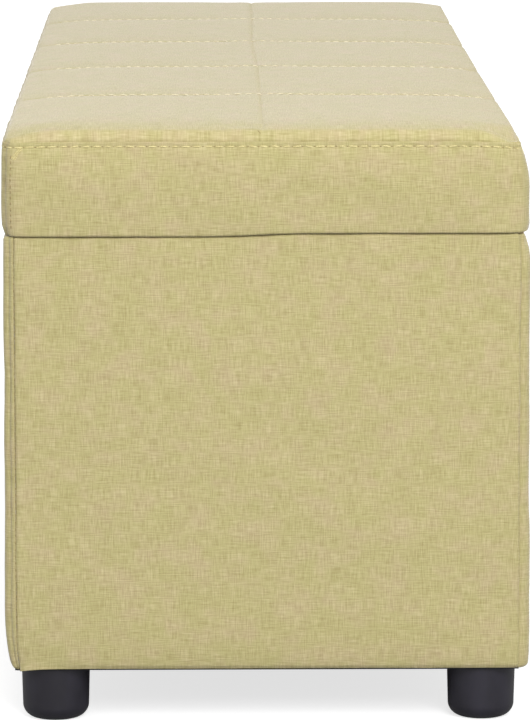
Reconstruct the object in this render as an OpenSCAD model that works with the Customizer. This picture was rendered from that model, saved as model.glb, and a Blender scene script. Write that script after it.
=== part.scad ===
// Upholstered storage bench with a hinged, quilted seat lid.
// X runs along the bench, -Y is the front, +Y is the hinge side, +Z is up.
// The origin is on the floor, under the middle of the whole outline.

/* [Overall] */
// Length of the bench over its end covers
bench_l = 1160; // [900:10:1400]
// Depth of the bench over its front and rear covers
bench_w = 380; // [340:5:460]
// Height of the pillow crowns above the floor
seat_h = 441; // [420:1:520]

/* [Seat] */
// Height of the side band, from the lid's underside to the edge seam
band_h = 68; // [54:0.5:90]
// Height of the pillow crowns above the edge seam
quilt_rise = 13; // [10:0.5:26]
// Depth of the sewn channels below the pillow crowns
channel_depth = 5; // [2:0.5:8]
// Number of quilted cells along the bench
cells_l = 5; // [3:1:8]
// Number of quilted cells across the bench
cells_w = 2; // [1:1:3]
// Width of the rolled edge of the quilted top
edge_roll = 12; // [6:1:20]
// Gap between the closed lid and the body
joint_gap = 0.4; // [0.3:0.1:1]

/* [Carcass] */
// Thickness of the panels and the lid board
board_t = 12; // [9:0.5:18]
// Width of each square corner post
post_w = 33; // [28:1:45]
// Distance of the posts' tops below the panels' top edges
post_drop = 25; // [20:1:60]
// Depth of the cut at each lower corner of the long panels, where the cloth is folded under
tuck_w = 8; // [4:1:10]
// Length of that cut along the panel
tuck_l = 20; // [10:1:28]
// Height of that cut
tuck_h = 28; // [10:1:40]
// Height of the feet
foot_h = 40; // [35:1:70]

/* [Upholstery] */
// Thickness of the cloth and padding on the sides
skin_t = 5; // [4:0.5:8]
// Radius of the soft edges at the joint between lid and body
joint_round = 8; // [7:0.5:10]
// Radius of the soft edge at the bottom of the body
hem_round = 4; // [2:0.5:6]
// Radius of the upright corners of the covers
corner_round = 8; // [6:0.5:14]
// Thickness of the storage lining and the lid lining
lining_t = 0.8; // [0.5:0.1:1.5]
// Thickness of the dust cover under the body
dust_t = 0.6; // [0.4:0.1:1.2]
// How far the dust cover's edge is set in from the covers
dust_inset = 6; // [5:1:12]

/* [Feet] */
// Diameter of a foot at its top
foot_d = 50.2; // [44:0.2:58]
// How far the feet stand forward of the corner posts' middles
foot_forward = 1.5; // [0:0.5:4]
// How much narrower a foot is above its rounded lower edge
foot_taper = 1.6; // [0:0.1:4]
// Radius of the rounded lower edge
foot_round = 10; // [4:0.5:12]
// Wall thickness of the hollow foot
foot_wall = 3; // [2:0.5:4]
// Thickness of the foot's closed bottom
foot_sole = 8; // [6:0.5:12]
// Height of the shoulder that the screw head pulls on
foot_shoulder = 24; // [18:1:30]
// Radius of the recess that the screw head goes up into
foot_recess_r = 5; // [4.8:0.1:6]
// Radius of the boss round the recess and the screw
foot_boss_r = 7.6; // [7.2:0.1:9]
// Number of stiffening ribs in a foot
foot_ribs = 6; // [3:1:8]
// Thickness of each stiffening rib
rib_t = 2; // [1.2:0.1:3]
// Distance of the ribs' tops below the foot's top
rib_drop = 2; // [1:0.5:6]

/* [Hinges] */
// Distance of the outer hinges' middles from the bench's ends
hinge_inset = 180; // [120:5:240]
// Length of a hinge leaf
hinge_l = 64; // [50:2:80]
// Thickness of a hinge leaf
leaf_t = 1.2; // [1:0.1:1.6]
// Outer radius of the knuckles
knuckle_r = 3; // [2.6:0.1:3.2]
// Distance between the screws of a leaf
leaf_screw_pitch = 23; // [16:1:26]
// How much smaller than the knuckles a pin's heads are, in radius
pin_head_in = 0.6; // [0.3:0.1:1]
// Radius of the hinge pin
pin_r = 1.5; // [1:0.1:1.8]
// Number of knuckles in a hinge
knuckles = 5; // [3:2:7]
// Gap between neighbouring knuckles
knuckle_gap = 0.3; // [0.2:0.05:0.6]
// Radius of the leaves' free corners
leaf_corner = 3; // [1:0.5:5]
// How far a leaf's edge is set back from the storage opening
leaf_inset = 0.8; // [0.5:0.1:2]
// Opening angle of the lid
lid_open = 100; // [95:1:100]

/* [Lid stays] */
// Distance of the base pivot in front of the hinge line
base_pivot_in = 78; // [76:0.5:84]
// Distance of the base pivot below the hinge line
base_pivot_down = 136; // [130:0.5:142]
// Distance of the lid pivot in front of the hinge line
lid_pivot_in = 134; // [130:0.5:136]
// Distance of the lid pivot below the hinge line
lid_pivot_down = 14; // [12:0.5:16]
// Slack left in the arms when the lid is fully open
stay_slack = 3.7; // [3:0.1:5]
// Share of the stay's length that the lower arm takes
lower_share = 0.46; // [0.44:0.01:0.48]
// Width of an arm
arm_w = 14; // [10:0.5:14.5]
// Thickness of an arm and of the bracket's tab
arm_t = 2; // [1.5:0.1:2.5]
// Width of the raised rib along an arm
swage_w = 5; // [3:0.5:7]
// Height of the raised rib along an arm
swage_t = 0.8; // [0.4:0.1:0.9]
// Distance between a rib's end and the nearest rivet's or plate's edge
swage_clear = 4; // [2:0.5:8]
// Radius of the plain round ends of the arms and the bracket's tab
end_r = 8; // [7.5:0.5:9]
// Radius of the eye at the lower arm's elbow end
eye_r = 10; // [9:0.5:11]
// Radius of a rivet's shank
rivet_r = 2; // [1.6:0.1:2.4]
// Play of the elbow rivet in its eye
elbow_play = 3.8; // [3.4:0.1:4.4]
// Thickness of the base plate and the bracket's flange
plate_t = 1.5; // [1.2:0.1:2]
// Length of the base plate
plate_l = 56; // [48:1:70]
// Width of the base plate
plate_w = 22; // [18:1:28]
// Radius of the base plate's corners
plate_corner = 6; // [2:0.5:8]
// Distance of the base plate's screws from its ends
plate_screw_in = 10; // [7:0.5:14]
// Length of the bracket's flange
flange_l = 44; // [38:1:56]
// Width of the bracket's flange
flange_w = 20; // [18:1:26]
// Distance of the flange's screws from its ends
flange_screw_in = 9; // [6:0.5:12]
// Distance of the flange's screws from the side with the tab
flange_screw_side = 12; // [10:0.5:14]
// Radius of a rivet's plain head
rivet_head_r = 4.6; // [3.5:0.1:6]
// Thickness of a rivet's head
head_t = 1.2; // [0.8:0.1:1.4]
// How much smaller than the eye the elbow's washer is, in radius
washer_in = 1; // [0.5:0.1:1.5]

/* [Fasteners] */
// Diameter of the frame screws
frame_screw_d = 4; // [3:0.5:5]
// Length of the frame screws
frame_screw_l = 34; // [25:1:40]
// Distance between the screws that hold the floor in the long panels
floor_screw_pitch = 230; // [150:10:240]
// Distance between the screws that hold the floor in an end panel
floor_screw_gap = 160; // [80:10:200]
// Distance of the frame screws from the ends of the posts
frame_screw_in = 50; // [30:1:70]
// How far the screws in the end panels sit above those in the long panels
screw_stagger = 20; // [12:1:40]
// Diameter of the foot screws
foot_screw_d = 5; // [4:0.5:6]
// Length of the foot screws
foot_screw_l = 60; // [45:1:80]
// Radius of a foot screw's pan head
foot_head_r = 4.5; // [4:0.1:4.7]
// Thickness of a foot screw's pan head
foot_head_t = 3; // [2:0.1:4]
// Diameter of the small screws in hinges and stays
small_screw_d = 3; // [2.5:0.1:3.5]
// Length of the small screws in the rear panel's edge
small_screw_l = 20; // [14:1:25]
// Length of the short screws in the lid board and end panels
short_screw_l = 10; // [8:0.5:10.5]

/* [Clearances] */
// Clearance of a shank in its bore or pilot hole
bore_clear = 0.05; // [0.02:0.01:0.1]
// Gap between flat pieces that slide past each other
slide_gap = 0.3; // [0.3:0.05:0.5]

/* [Hidden] */

$fn = 48;

// How far a cutting shape runs past the face that it cuts
past = 1;

// The hinge barrels stand out behind the rear cover, so the covers sit that much forward.
front_y = -(bench_w + knuckle_r) / 2;
rear_y = front_y + bench_w;
mid_y = (front_y + rear_y) / 2;
end_x = bench_l / 2;

// The turned-in cloth and its backing strip are as thick as the leaf that is let into them.
fold_t = leaf_t;
rim = skin_t + board_t;

// Heights, from the floor up
dust_top = foot_h + dust_t;
panel_bottom = dust_top + fold_t;
floor_top = panel_bottom + board_t;
seam_z = seat_h - quilt_rise;
lid_under = seam_z - band_h;
body_top = lid_under - joint_gap;
panel_top = body_top - fold_t;
lid_board_z = lid_under + fold_t;
foam_z = lid_board_z + board_t;
hinge_y = rear_y;
hinge_z = body_top + joint_gap / 2;

// The storage space between the panels
cave_x = end_x - rim;
cave_front = front_y + rim;
cave_rear = rear_y - rim;
cave_mid = (cave_front + cave_rear) / 2;

// The middles of the corner posts, and of the feet under them
post_x = cave_x - post_w / 2;
post_front = cave_front + post_w / 2;
post_rear = cave_rear - post_w / 2;
post_top = panel_top - post_drop;
foot_front = post_front - foot_forward;
foot_rear = post_rear - foot_forward;

// The frame screws in the end panels sit above those in the long panels, to miss them.
screw_rows = [panel_bottom + frame_screw_in, post_top - frame_screw_in - screw_stagger];

// Linings
lining_gap = 0.3;
lid_lining_z = lid_board_z - lining_t;

// Hinges
hinge_places = [hinge_inset - end_x, 0, end_x - hinge_inset];
leaf_y = cave_rear + leaf_inset;
leaf_screw_y = cave_rear + board_t / 2;
knuckle_pitch = hinge_l / knuckles;
barrel_clear = 0.3;

// Lid stays, as points [Y, Z] from the hinge line
base_pivot = [-base_pivot_in, -base_pivot_down];
lid_pivot = [-lid_pivot_in, -lid_pivot_down];
function turned(p, a) = [p.x * cos(a) + p.y * sin(a), p.y * cos(a) - p.x * sin(a)];
stay_l = norm(turned(lid_pivot, lid_open) - base_pivot) + stay_slack;
lower_l = lower_share * stay_l;
upper_l = stay_l - lower_l;
// The elbow is where a circle round each pivot crosses the other, on the front side.
function elbow_at(p) =
    let (d = p - base_pivot)
    let (s = norm(d))
    let (along = (lower_l ^ 2 - upper_l ^ 2 + s ^ 2) / (2 * s))
    let (off = sqrt(lower_l ^ 2 - along ^ 2))
    base_pivot + d / s * along + [-d.y, d.x] / s * off;
elbow = elbow_at(lid_pivot);
bracket_drop = hinge_z - lid_pivot_down;

// Layers of a stay, from the lining inwards
wall_x = cave_x - lining_t;
lower_x = wall_x - plate_t - slide_gap;
upper_x = lower_x - arm_t - slide_gap;
washer_gap = 0.4;
plate_screw_pitch = plate_l - 2 * plate_screw_in;
flange_screw_pitch = flange_l - 2 * flange_screw_in;

// Colours
cloth = "#c9be8b";
cloth_top = "#d7ceb1";
board = "#c8a878";
pine = "#dcc08c";
black_cloth = "#26252a";
black_plastic = "#302e39";
foam = "#e8dfb8";
zinc = "#b9bcc0";

// ---------- Shared shapes ----------

// A rectangle about the origin with round corners
module round_rect(l, w, r) {
    square([l - 2 * r, w], center = true);
    square([l, w - 2 * r], center = true);
    for (x = [-1, 1], y = [-1, 1])
        translate([x * (l / 2 - r), y * (w / 2 - r)])
            circle(r);
}

// A standing section, w wide and h high, with its own edge radius at the bottom and the top
module soft_section(w, h, r_bottom, r_top) {
    translate([-w / 2, r_bottom])
        square([w, h - r_bottom - r_top]);
    for (edge = [[r_bottom, r_bottom, 0], [r_top, h - r_top, h - r_top]])
        if (edge[0] > 0) {
            translate([-w / 2 + edge[0], edge[2]])
                square([w - 2 * edge[0], edge[0]]);
            for (x = [-1, 1])
                translate([x * (w / 2 - edge[0]), edge[1]])
                    circle(edge[0]);
        }
}

// The full outline of the bench between two heights, with soft edges all round
module soft_block(z_low, z_high, r_bottom, r_top) {
    h = z_high - z_low;
    translate([0, mid_y, z_low])
        intersection() {
            linear_extrude(h)
                round_rect(bench_l, bench_w, corner_round);
            rotate([90, 0, 90])
                linear_extrude(bench_l + 2 * past, center = true)
                    soft_section(bench_w, h, r_bottom, r_top);
            rotate([90, 0, 0])
                linear_extrude(bench_w + 2 * past, center = true)
                    soft_section(bench_l, h, r_bottom, r_top);
        }
}

// A box between two corners
module span(low, high) {
    translate(low)
        cube(high - low);
}

// The space between the panels, from one height to another
module cave(z_low, z_high) {
    span([-cave_x, cave_front, z_low], [cave_x, cave_rear, z_high]);
}

// The block that the panels fill, from one height to another
module panel_block(z_low, z_high) {
    span([skin_t - end_x, front_y + skin_t, z_low], [end_x - skin_t, rear_y - skin_t, z_high]);
}

// A countersunk screw whose head lies flush at the origin and whose point is down
module flat_screw(d, l, clear = 0) {
    head_r = d + clear;
    r = d / 2 + clear;
    translate([0, 0, -l - clear])
        cylinder(h = l + clear, r = r);
    translate([0, 0, -(head_r - r)])
        cylinder(h = head_r - r, r1 = r, r2 = head_r);
}

// ---------- Where the screws go ----------

// Through the long panels and the end panels into the corner posts
module at_post_screws() {
    for (x = [-1, 1], z = screw_rows) {
        translate([x * post_x, front_y + skin_t, z])
            rotate([90, 0, 0])
                children();
        translate([x * post_x, rear_y - skin_t, z])
            rotate([-90, 0, 0])
                children();
        for (y = [post_front, post_rear])
            translate([x * (end_x - skin_t), y, z + screw_stagger])
                rotate([0, x * 90, 0])
                    children();
    }
}

// Through the long panels and the end panels into the edges of the floor panel
module at_floor_screws() {
    z = panel_bottom + board_t / 2;
    for (k = [-2:2]) {
        translate([k * floor_screw_pitch, front_y + skin_t, z])
            rotate([90, 0, 0])
                children();
        translate([k * floor_screw_pitch, rear_y - skin_t, z])
            rotate([-90, 0, 0])
                children();
    }
    for (x = [-1, 1], y = [-1, 1])
        translate([x * (end_x - skin_t), cave_mid + y * floor_screw_gap / 2, z])
            rotate([0, x * 90, 0])
                children();
}

// The four places where a foot stands
module at_feet() {
    for (x = [-1, 1], y = [foot_front, foot_rear])
        translate([x * post_x, y, 0])
            children();
}

// Down through the body leaves, and up through the lid leaves when lid is true
module at_hinge_screws(lid) {
    for (x = hinge_places, k = [-1:1])
        translate([x + k * leaf_screw_pitch, leaf_screw_y, lid ? lid_under : body_top])
            rotate([lid ? 180 : 0, 0, 0])
                children();
}

// Through a base plate into the end panel, on the right side
module at_base_screws() {
    for (k = [-1, 1])
        translate([wall_x - plate_t,
                   hinge_y + base_pivot.x,
                   hinge_z + base_pivot.y + k * plate_screw_pitch / 2])
            rotate([0, -90, 0])
                children();
}

// Up through a lid bracket into the lid board, on the right side
module at_bracket_screws() {
    for (k = [-1, 1])
        translate([lower_x - flange_screw_side,
                   hinge_y + lid_pivot.x + k * flange_screw_pitch / 2,
                   lid_lining_z - plate_t])
            rotate([180, 0, 0])
                children();
}

module frame_holes() {
    at_post_screws() flat_screw(frame_screw_d, frame_screw_l, bore_clear);
    at_floor_screws() flat_screw(frame_screw_d, frame_screw_l, bore_clear);
}

module small_hole(l) {
    flat_screw(small_screw_d, l, bore_clear);
}

// A round hole up from the floor to a height
module foot_screw_hole(z_high) {
    cylinder(h = z_high, r = foot_screw_d / 2 + bore_clear);
}

// ---------- Carcass ----------

// The corner cuts that make room for the folded cloth
module tuck_cuts() {
    long = end_x - skin_t;
    wide = bench_w / 2 - skin_t;
    for (x = [0, 1])
        for (y = [0, 1])
            translate([0, mid_y, panel_bottom - past])
                mirror([x, 0, 0])
                    mirror([0, y, 0])
                        linear_extrude(tuck_h + past)
                            polygon([[long - tuck_l, wide], [long - tuck_l, wide + past], [end_x, wide + past],
                                     [end_x, wide - tuck_w], [long, wide - tuck_w]]);
}

module front_panel() {
    color(board)
        difference() {
            span([skin_t - end_x, front_y + skin_t, panel_bottom], [end_x - skin_t, cave_front, panel_top]);
            tuck_cuts();
            frame_holes();
        }
}

module rear_panel() {
    color(board)
        difference() {
            span([skin_t - end_x, cave_rear, panel_bottom], [end_x - skin_t, rear_y - skin_t, panel_top]);
            tuck_cuts();
            frame_holes();
            at_hinge_screws(false) small_hole(small_screw_l);
        }
}

// An end panel fits between the long panels; side is -1 on the left and 1 on the right.
module end_panel(side) {
    color(board)
        mirror([side < 0 ? 1 : 0, 0, 0])
            difference() {
                span([cave_x, cave_front, panel_bottom], [end_x - skin_t, cave_rear, panel_top]);
                frame_holes();
                at_base_screws() small_hole(short_screw_l);
            }
}

module floor_panel() {
    color(board)
        difference() {
            cave(panel_bottom, floor_top);
            frame_holes();
            at_feet() foot_screw_hole(floor_top + past);
        }
}

module corner_post(side, y) {
    color(pine)
        difference() {
            span([side * post_x - post_w / 2, y - post_w / 2, floor_top],
                 [side * post_x + post_w / 2, y + post_w / 2, post_top]);
            frame_holes();
            at_feet() foot_screw_hole(foot_shoulder + foot_screw_l + bore_clear);
        }
}

module frame_screws() {
    color(zinc) {
        at_post_screws() flat_screw(frame_screw_d, frame_screw_l);
        at_floor_screws() flat_screw(frame_screw_d, frame_screw_l);
    }
}

// ---------- Body upholstery ----------

// Padded cloth round the whole body, turned in over the panels' top and bottom edges
module cover_ring() {
    difference() {
        soft_block(dust_top, body_top, hem_round, joint_round);
        difference() {
            panel_block(panel_bottom, panel_top);
            tuck_cuts();
        }
        cave(dust_top - past, body_top + past);
    }
}

// The share of a ring that belongs to a long side, mitred at both corners
module long_sector(side) {
    y = side < 0 ? front_y : rear_y;
    linear_extrude(seat_h)
        polygon([[-end_x - past, y + side * past], [end_x + past, y + side * past],
                 [end_x - 2 * rim, y - side * 2 * rim], [2 * rim - end_x, y - side * 2 * rim]]);
}

// The share of a ring that belongs to an end, mitred at both corners
module end_sector(side) {
    linear_extrude(seat_h)
        polygon([[side * (end_x + past), front_y - past], [side * (end_x - 2 * rim), front_y + 2 * rim],
                 [side * (end_x - 2 * rim), rear_y - 2 * rim], [side * (end_x + past), rear_y + past]]);
}

module cover_front() {
    color(cloth)
        intersection() {
            cover_ring();
            long_sector(-1);
        }
}

module cover_rear() {
    color(cloth)
        difference() {
            intersection() {
                cover_ring();
                long_sector(1);
            }
            leaf_pockets(body_top - leaf_t, body_top + past);
        }
}

module cover_end(side) {
    color(cloth)
        intersection() {
            cover_ring();
            end_sector(side);
        }
}

// The outline of the storage space round the corner posts, drawn in by t on every wall
function cave_outline(t) =
    let (x = cave_x - t)
    let (px = cave_x - post_w - t)
    let (f = cave_front + t)
    let (pf = cave_front + post_w + t)
    let (r = cave_rear - t)
    let (pr = cave_rear - post_w - t)
    [[-px, f], [px, f], [px, pf], [x, pf], [x, pr], [px, pr],
     [px, r], [-px, r], [-px, pr], [-x, pr], [-x, pf], [-px, pf]];

// The storage space over the floor and the posts, drawn in by t on every side but the top
module cave_space(t, z_high) {
    translate([0, 0, floor_top + t])
        linear_extrude(z_high - floor_top - t)
            polygon(cave_outline(t));
    span([t - cave_x, cave_front + t, post_top + t], [cave_x - t, cave_rear - t, z_high]);
}

// Cloth on the walls, posts and floor of the storage space
module storage_lining() {
    color(black_cloth)
        difference() {
            cave_space(0, panel_top);
            cave_space(lining_t, panel_top + past);
            for (side = [0, 1])
                mirror([side, 0, 0])
                    at_base_screws() small_hole(short_screw_l);
        }
}

module dust_cover() {
    color(black_cloth)
        difference() {
            translate([0, mid_y, foot_h])
                linear_extrude(dust_t)
                    round_rect(bench_l - 2 * dust_inset, bench_w - 2 * dust_inset, corner_round);
            at_feet() foot_screw_hole(dust_top + past);
        }
}

// ---------- Feet ----------

// Half section of a foot: tapered wall, rounded lower edge
module foot_section() {
    low_r = (foot_d - foot_taper) / 2;
    polygon([[0, foot_round], [low_r, foot_round], [foot_d / 2, foot_h], [0, foot_h]]);
    square([low_r - foot_round, foot_round]);
    intersection() {
        translate([low_r - foot_round, foot_round])
            circle(foot_round);
        square([low_r, foot_round]);
    }
}

// A moulded foot, hollow from above, with a ribbed boss round its screw
module foot(side, y) {
    hollow_r = (foot_d - foot_taper) / 2 - foot_wall;
    color(black_plastic)
        translate([side * post_x, y, 0])
            difference() {
                rotate_extrude()
                    foot_section();
                difference() {
                    translate([0, 0, foot_sole])
                        cylinder(h = foot_h, r = hollow_r);
                    cylinder(h = foot_h, r = foot_boss_r);
                    for (k = [0:foot_ribs - 1])
                        rotate((k + 0.5) * 360 / foot_ribs)
                            span([0, -rib_t / 2, 0], [foot_d, rib_t / 2, foot_h - rib_drop]);
                }
                translate([0, 0, -past])
                    cylinder(h = foot_shoulder + past, r = foot_recess_r);
                foot_screw_hole(foot_h + past);
            }
}

// Pan-head screws, one up through each foot into the post above it
module foot_screws() {
    color(zinc)
        at_feet() {
            translate([0, 0, foot_shoulder - foot_head_t])
                cylinder(h = foot_head_t, r = foot_head_r);
            translate([0, 0, foot_shoulder])
                cylinder(h = foot_screw_l, r = foot_screw_d / 2);
        }
}

// ---------- Lid ----------

module lid_board() {
    color(board)
        difference() {
            panel_block(lid_board_z, foam_z);
            at_hinge_screws(true) small_hole(short_screw_l);
            for (side = [0, 1])
                mirror([side, 0, 0])
                    at_bracket_screws() small_hole(short_screw_l);
        }
}

module seat_foam() {
    color(foam)
        panel_block(foam_z, seam_z);
}

// Padded boxing round the board and the foam, turned in under the board's edge
module seat_side_band() {
    color(cloth)
        difference() {
            soft_block(lid_under, seam_z, joint_round, 0);
            panel_block(lid_board_z, seam_z + past);
            cave(lid_under - past, lid_board_z + past);
            leaf_pockets(lid_under - past, lid_under + leaf_t);
        }
}

module lid_lining() {
    color(black_cloth)
        difference() {
            span([lining_gap - cave_x, cave_front + lining_gap, lid_lining_z],
                 [cave_x - lining_gap, cave_rear - lining_gap, lid_board_z]);
            for (side = [0, 1])
                mirror([side, 0, 0])
                    at_bracket_screws() small_hole(short_screw_l);
        }
}

// Grid lines over one direction of the quilt: even steps in each cell, with two more in each edge
function quilt_lines(size, cells, steps) =
    let (n = cells * steps)
    concat([0, edge_roll * 0.25, edge_roll * 0.7],
           [for (k = [1:n - 1]) size * k / n],
           [size - edge_roll * 0.7, size - edge_roll * 0.25, size]);

// 0 in a sewn channel and 1 at the middle of a cell
function pillow(t, size, cells) = abs(sin(180 * t * cells / size)) ^ 0.7;

// The rolled edge: 0 at the seam, near 1 from there inwards
function roll(d) = 1 - exp(-d / (edge_roll * 0.6));

// Height of the quilted surface above the edge seam, u along and v across from one corner
function quilt_height(u, v) =
    let (d = min(u, bench_l - u, v, bench_w - v))
    let (crown = pillow(u, bench_l, cells_l) * pillow(v, bench_w, cells_w))
    0.8 + (quilt_rise - 0.8) * roll(d) - channel_depth * roll(d) * (1 - crown);

// Draws a point of the quilt in to the round corner of the outline
function corner_in(x, y) =
    let (cx = max(abs(x) - end_x + corner_round, 0))
    let (cy = max(abs(y) - bench_w / 2 + corner_round, 0))
    let (far = norm([cx, cy]))
    far > corner_round
        ? [sign(x) * (end_x - corner_round + cx * corner_round / far),
           sign(y) * (bench_w / 2 - corner_round + cy * corner_round / far)]
        : [x, y];

// The quilted top panel: cloth sewn through its wadding, flat below and pillowed above
module quilted_top() {
    us = quilt_lines(bench_l, cells_l, 8);
    vs = quilt_lines(bench_w, cells_w, 8);
    nu = len(us);
    nv = len(vs);
    top = [for (v = vs, u = us)
        concat(corner_in(u - end_x, v - bench_w / 2), [quilt_height(u, v)])];
    rim_ids = concat([for (i = [0:nu - 2]) i],
                     [for (j = [0:nv - 2]) j * nu + nu - 1],
                     [for (i = [nu - 1:-1:1]) (nv - 1) * nu + i],
                     [for (j = [nv - 1:-1:1]) j * nu]);
    m = len(rim_ids);
    base = [for (id = rim_ids) [top[id].x, top[id].y, 0]];
    upper = [for (j = [0:nv - 2], i = [0:nu - 2], half = [0, 1])
        let (a = j * nu + i)
        half == 0 ? [a, a + nu, a + nu + 1] : [a, a + nu + 1, a + 1]];
    sides = [for (k = [0:m - 1], half = [0, 1])
        let (n = (k + 1) % m)
        half == 0 ? [rim_ids[k], rim_ids[n], nu * nv + n] : [rim_ids[k], nu * nv + n, nu * nv + k]];
    under = [[for (k = [0:m - 1]) nu * nv + k]];
    color(cloth_top)
        translate([0, mid_y, seam_z])
            polyhedron(concat(top, base), concat(upper, sides, under), convexity = 6);
}

// ---------- Hinges ----------

// Recesses for the leaves, open at the rear and at the storage space
module leaf_pockets(z_low, z_high) {
    for (x = hinge_places)
        span([x - hinge_l / 2 - barrel_clear, cave_rear - past, z_low],
             [x + hinge_l / 2 + barrel_clear, rear_y + joint_round, z_high]);
}

// A cylinder on the hinge line over one knuckle place, made longer by extra
module on_hinge_line(x, place, extra, r) {
    translate([x - hinge_l / 2 + place * knuckle_pitch - extra / 2, hinge_y, hinge_z])
        rotate([0, 90, 0])
            cylinder(h = knuckle_pitch + extra, r = r);
}

// The flat of a leaf, from the hinge line to its free edge, with two round corners
module leaf_outline() {
    depth = hinge_y - leaf_y;
    translate([-hinge_l / 2, leaf_corner - depth])
        square([hinge_l, depth - leaf_corner]);
    translate([leaf_corner - hinge_l / 2, -depth])
        square([hinge_l - 2 * leaf_corner, leaf_corner + past]);
    for (side = [-1, 1])
        translate([side * (hinge_l / 2 - leaf_corner), leaf_corner - depth])
            circle(leaf_corner);
}

// One leaf: the body leaf has the even knuckles and the lid leaf the odd ones.
module hinge_leaf(x, lid) {
    own = lid ? 1 : 0;
    z = lid ? lid_under : body_top - leaf_t;
    color(zinc)
        difference() {
            union() {
                difference() {
                    translate([x, hinge_y, z])
                        linear_extrude(leaf_t)
                            leaf_outline();
                    for (k = [1 - own:2:knuckles - 1])
                        on_hinge_line(x, k, knuckle_gap, knuckle_r + barrel_clear);
                }
                for (k = [own:2:knuckles - 1])
                    on_hinge_line(x, k, -knuckle_gap, knuckle_r);
            }
            translate([x - hinge_l, hinge_y, hinge_z])
                rotate([0, 90, 0])
                    cylinder(h = 2 * hinge_l, r = pin_r + bore_clear);
            at_hinge_screws(lid) small_hole(small_screw_l);
        }
}

// A pin with a low head at each end
module hinge_pin(x) {
    color(zinc)
        translate([x, hinge_y, hinge_z])
            rotate([0, 90, 0]) {
                cylinder(h = hinge_l, r = pin_r, center = true);
                for (side = [-1, 1])
                    translate([0, 0, side * (hinge_l + head_t) / 2])
                        cylinder(h = head_t, r = knuckle_r - pin_head_in, center = true);
            }
}

module hinge_body_screws() {
    color(zinc)
        at_hinge_screws(false) flat_screw(small_screw_d, small_screw_l);
}

module hinge_lid_screws() {
    color(zinc)
        at_hinge_screws(true) flat_screw(small_screw_d, short_screw_l);
}

// ---------- Lid stays ----------

// Puts a stay's pieces on the left (-1) or the right (1)
module on_side(side) {
    color(zinc)
        mirror([side < 0 ? 1 : 0, 0, 0])
            children();
}

// A flat piece drawn in Y and Z from the hinge line, its outer face at x
module flat_piece(x, t) {
    translate([x - t, hinge_y, hinge_z])
        rotate([90, 0, 90])
            linear_extrude(t)
                children();
}

// A straight bar between two points with a round eye at each
module arm_outline(a, b, r_a, r_b) {
    d = b - a;
    translate(a)
        rotate(atan2(d.y, d.x))
            translate([0, -arm_w / 2])
                square([norm(d), arm_w]);
    translate(a)
        circle(r_a);
    translate(b)
        circle(r_b);
}

// A rib between two points, cut short by a length at each
module swage_outline(a, b, short_a, short_b) {
    d = b - a;
    long = norm(d) - short_a - short_b;
    translate(a)
        rotate(atan2(d.y, d.x))
            translate([short_a + long / 2, 0])
                round_rect(long, swage_w, swage_w * 0.45);
}

module stay_base_plate(side) {
    on_side(side)
        difference() {
            flat_piece(wall_x, plate_t)
                translate(base_pivot)
                    difference() {
                        round_rect(plate_w, plate_l, plate_corner);
                        circle(rivet_r + bore_clear);
                    }
            at_base_screws() small_hole(short_screw_l);
        }
}

// The elbow rivet runs free in this arm's wide eye, and its rib starts clear of the base plate.
module stay_lower_arm(side) {
    on_side(side) {
        flat_piece(lower_x + swage_t, swage_t)
            swage_outline(base_pivot, elbow,
                          norm([plate_w, plate_l]) / 2 + swage_clear, eye_r + elbow_play + swage_clear);
        flat_piece(lower_x, arm_t)
            difference() {
                arm_outline(base_pivot, elbow, end_r, eye_r);
                translate(base_pivot)
                    circle(rivet_r + bore_clear);
                translate(elbow)
                    circle(rivet_r + elbow_play);
            }
    }
}

module stay_upper_arm(side) {
    on_side(side) {
        flat_piece(upper_x - arm_t, swage_t)
            swage_outline(lid_pivot, elbow, end_r + swage_clear, end_r + swage_clear);
        flat_piece(upper_x, arm_t)
            difference() {
                arm_outline(lid_pivot, elbow, end_r, end_r);
                for (p = [lid_pivot, elbow])
                    translate(p)
                        circle(rivet_r + bore_clear);
            }
    }
}

// A flange under the lid with a tab down to the pivot
module stay_lid_bracket(side) {
    tab_top = lid_lining_z - hinge_z;
    on_side(side)
        difference() {
            union() {
                flat_piece(lower_x, arm_t)
                    translate(lid_pivot)
                        difference() {
                            union() {
                                circle(end_r);
                                translate([-arm_w / 2, 0])
                                    square([arm_w, tab_top - lid_pivot.y]);
                            }
                            circle(rivet_r + bore_clear);
                        }
                span([lower_x - flange_w, hinge_y + lid_pivot.x - flange_l / 2, lid_lining_z - plate_t],
                     [lower_x, hinge_y + lid_pivot.x + flange_l / 2, lid_lining_z]);
            }
            at_bracket_screws() small_hole(short_screw_l);
        }
}

// A rivet at a point, its shank between two faces, with a head outside each face that asks for one
module rivet(p, x_in, x_out, head_in_r, head_out_r, out_t) {
    flat_piece(x_out, x_out - x_in)
        translate(p)
            circle(rivet_r);
    flat_piece(x_in, head_t)
        translate(p)
            circle(head_in_r);
    if (head_out_r > 0)
        flat_piece(x_out + out_t, out_t)
            translate(p)
                circle(head_out_r);
}

module stay_base_rivet(side) {
    on_side(side)
        rivet(base_pivot, lower_x - arm_t - slide_gap, wall_x, rivet_head_r, 0, 0);
}

// Its outer head is a wide washer that covers the lower arm's eye.
module stay_elbow_rivet(side) {
    on_side(side)
        rivet(elbow, upper_x - arm_t, lower_x + slide_gap, rivet_head_r, eye_r - washer_in,
              wall_x - lower_x - slide_gap - washer_gap);
}

module stay_lid_rivet(side) {
    on_side(side)
        rivet(lid_pivot, upper_x - arm_t - slide_gap, lower_x, rivet_head_r, rivet_head_r, head_t);
}

module stay_base_screws() {
    for (side = [-1, 1])
        on_side(side)
            at_base_screws() flat_screw(small_screw_d, short_screw_l);
}

module stay_bracket_screws() {
    for (side = [-1, 1])
        on_side(side)
            at_bracket_screws() flat_screw(small_screw_d, short_screw_l);
}

// ---------- Assembly ----------

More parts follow.
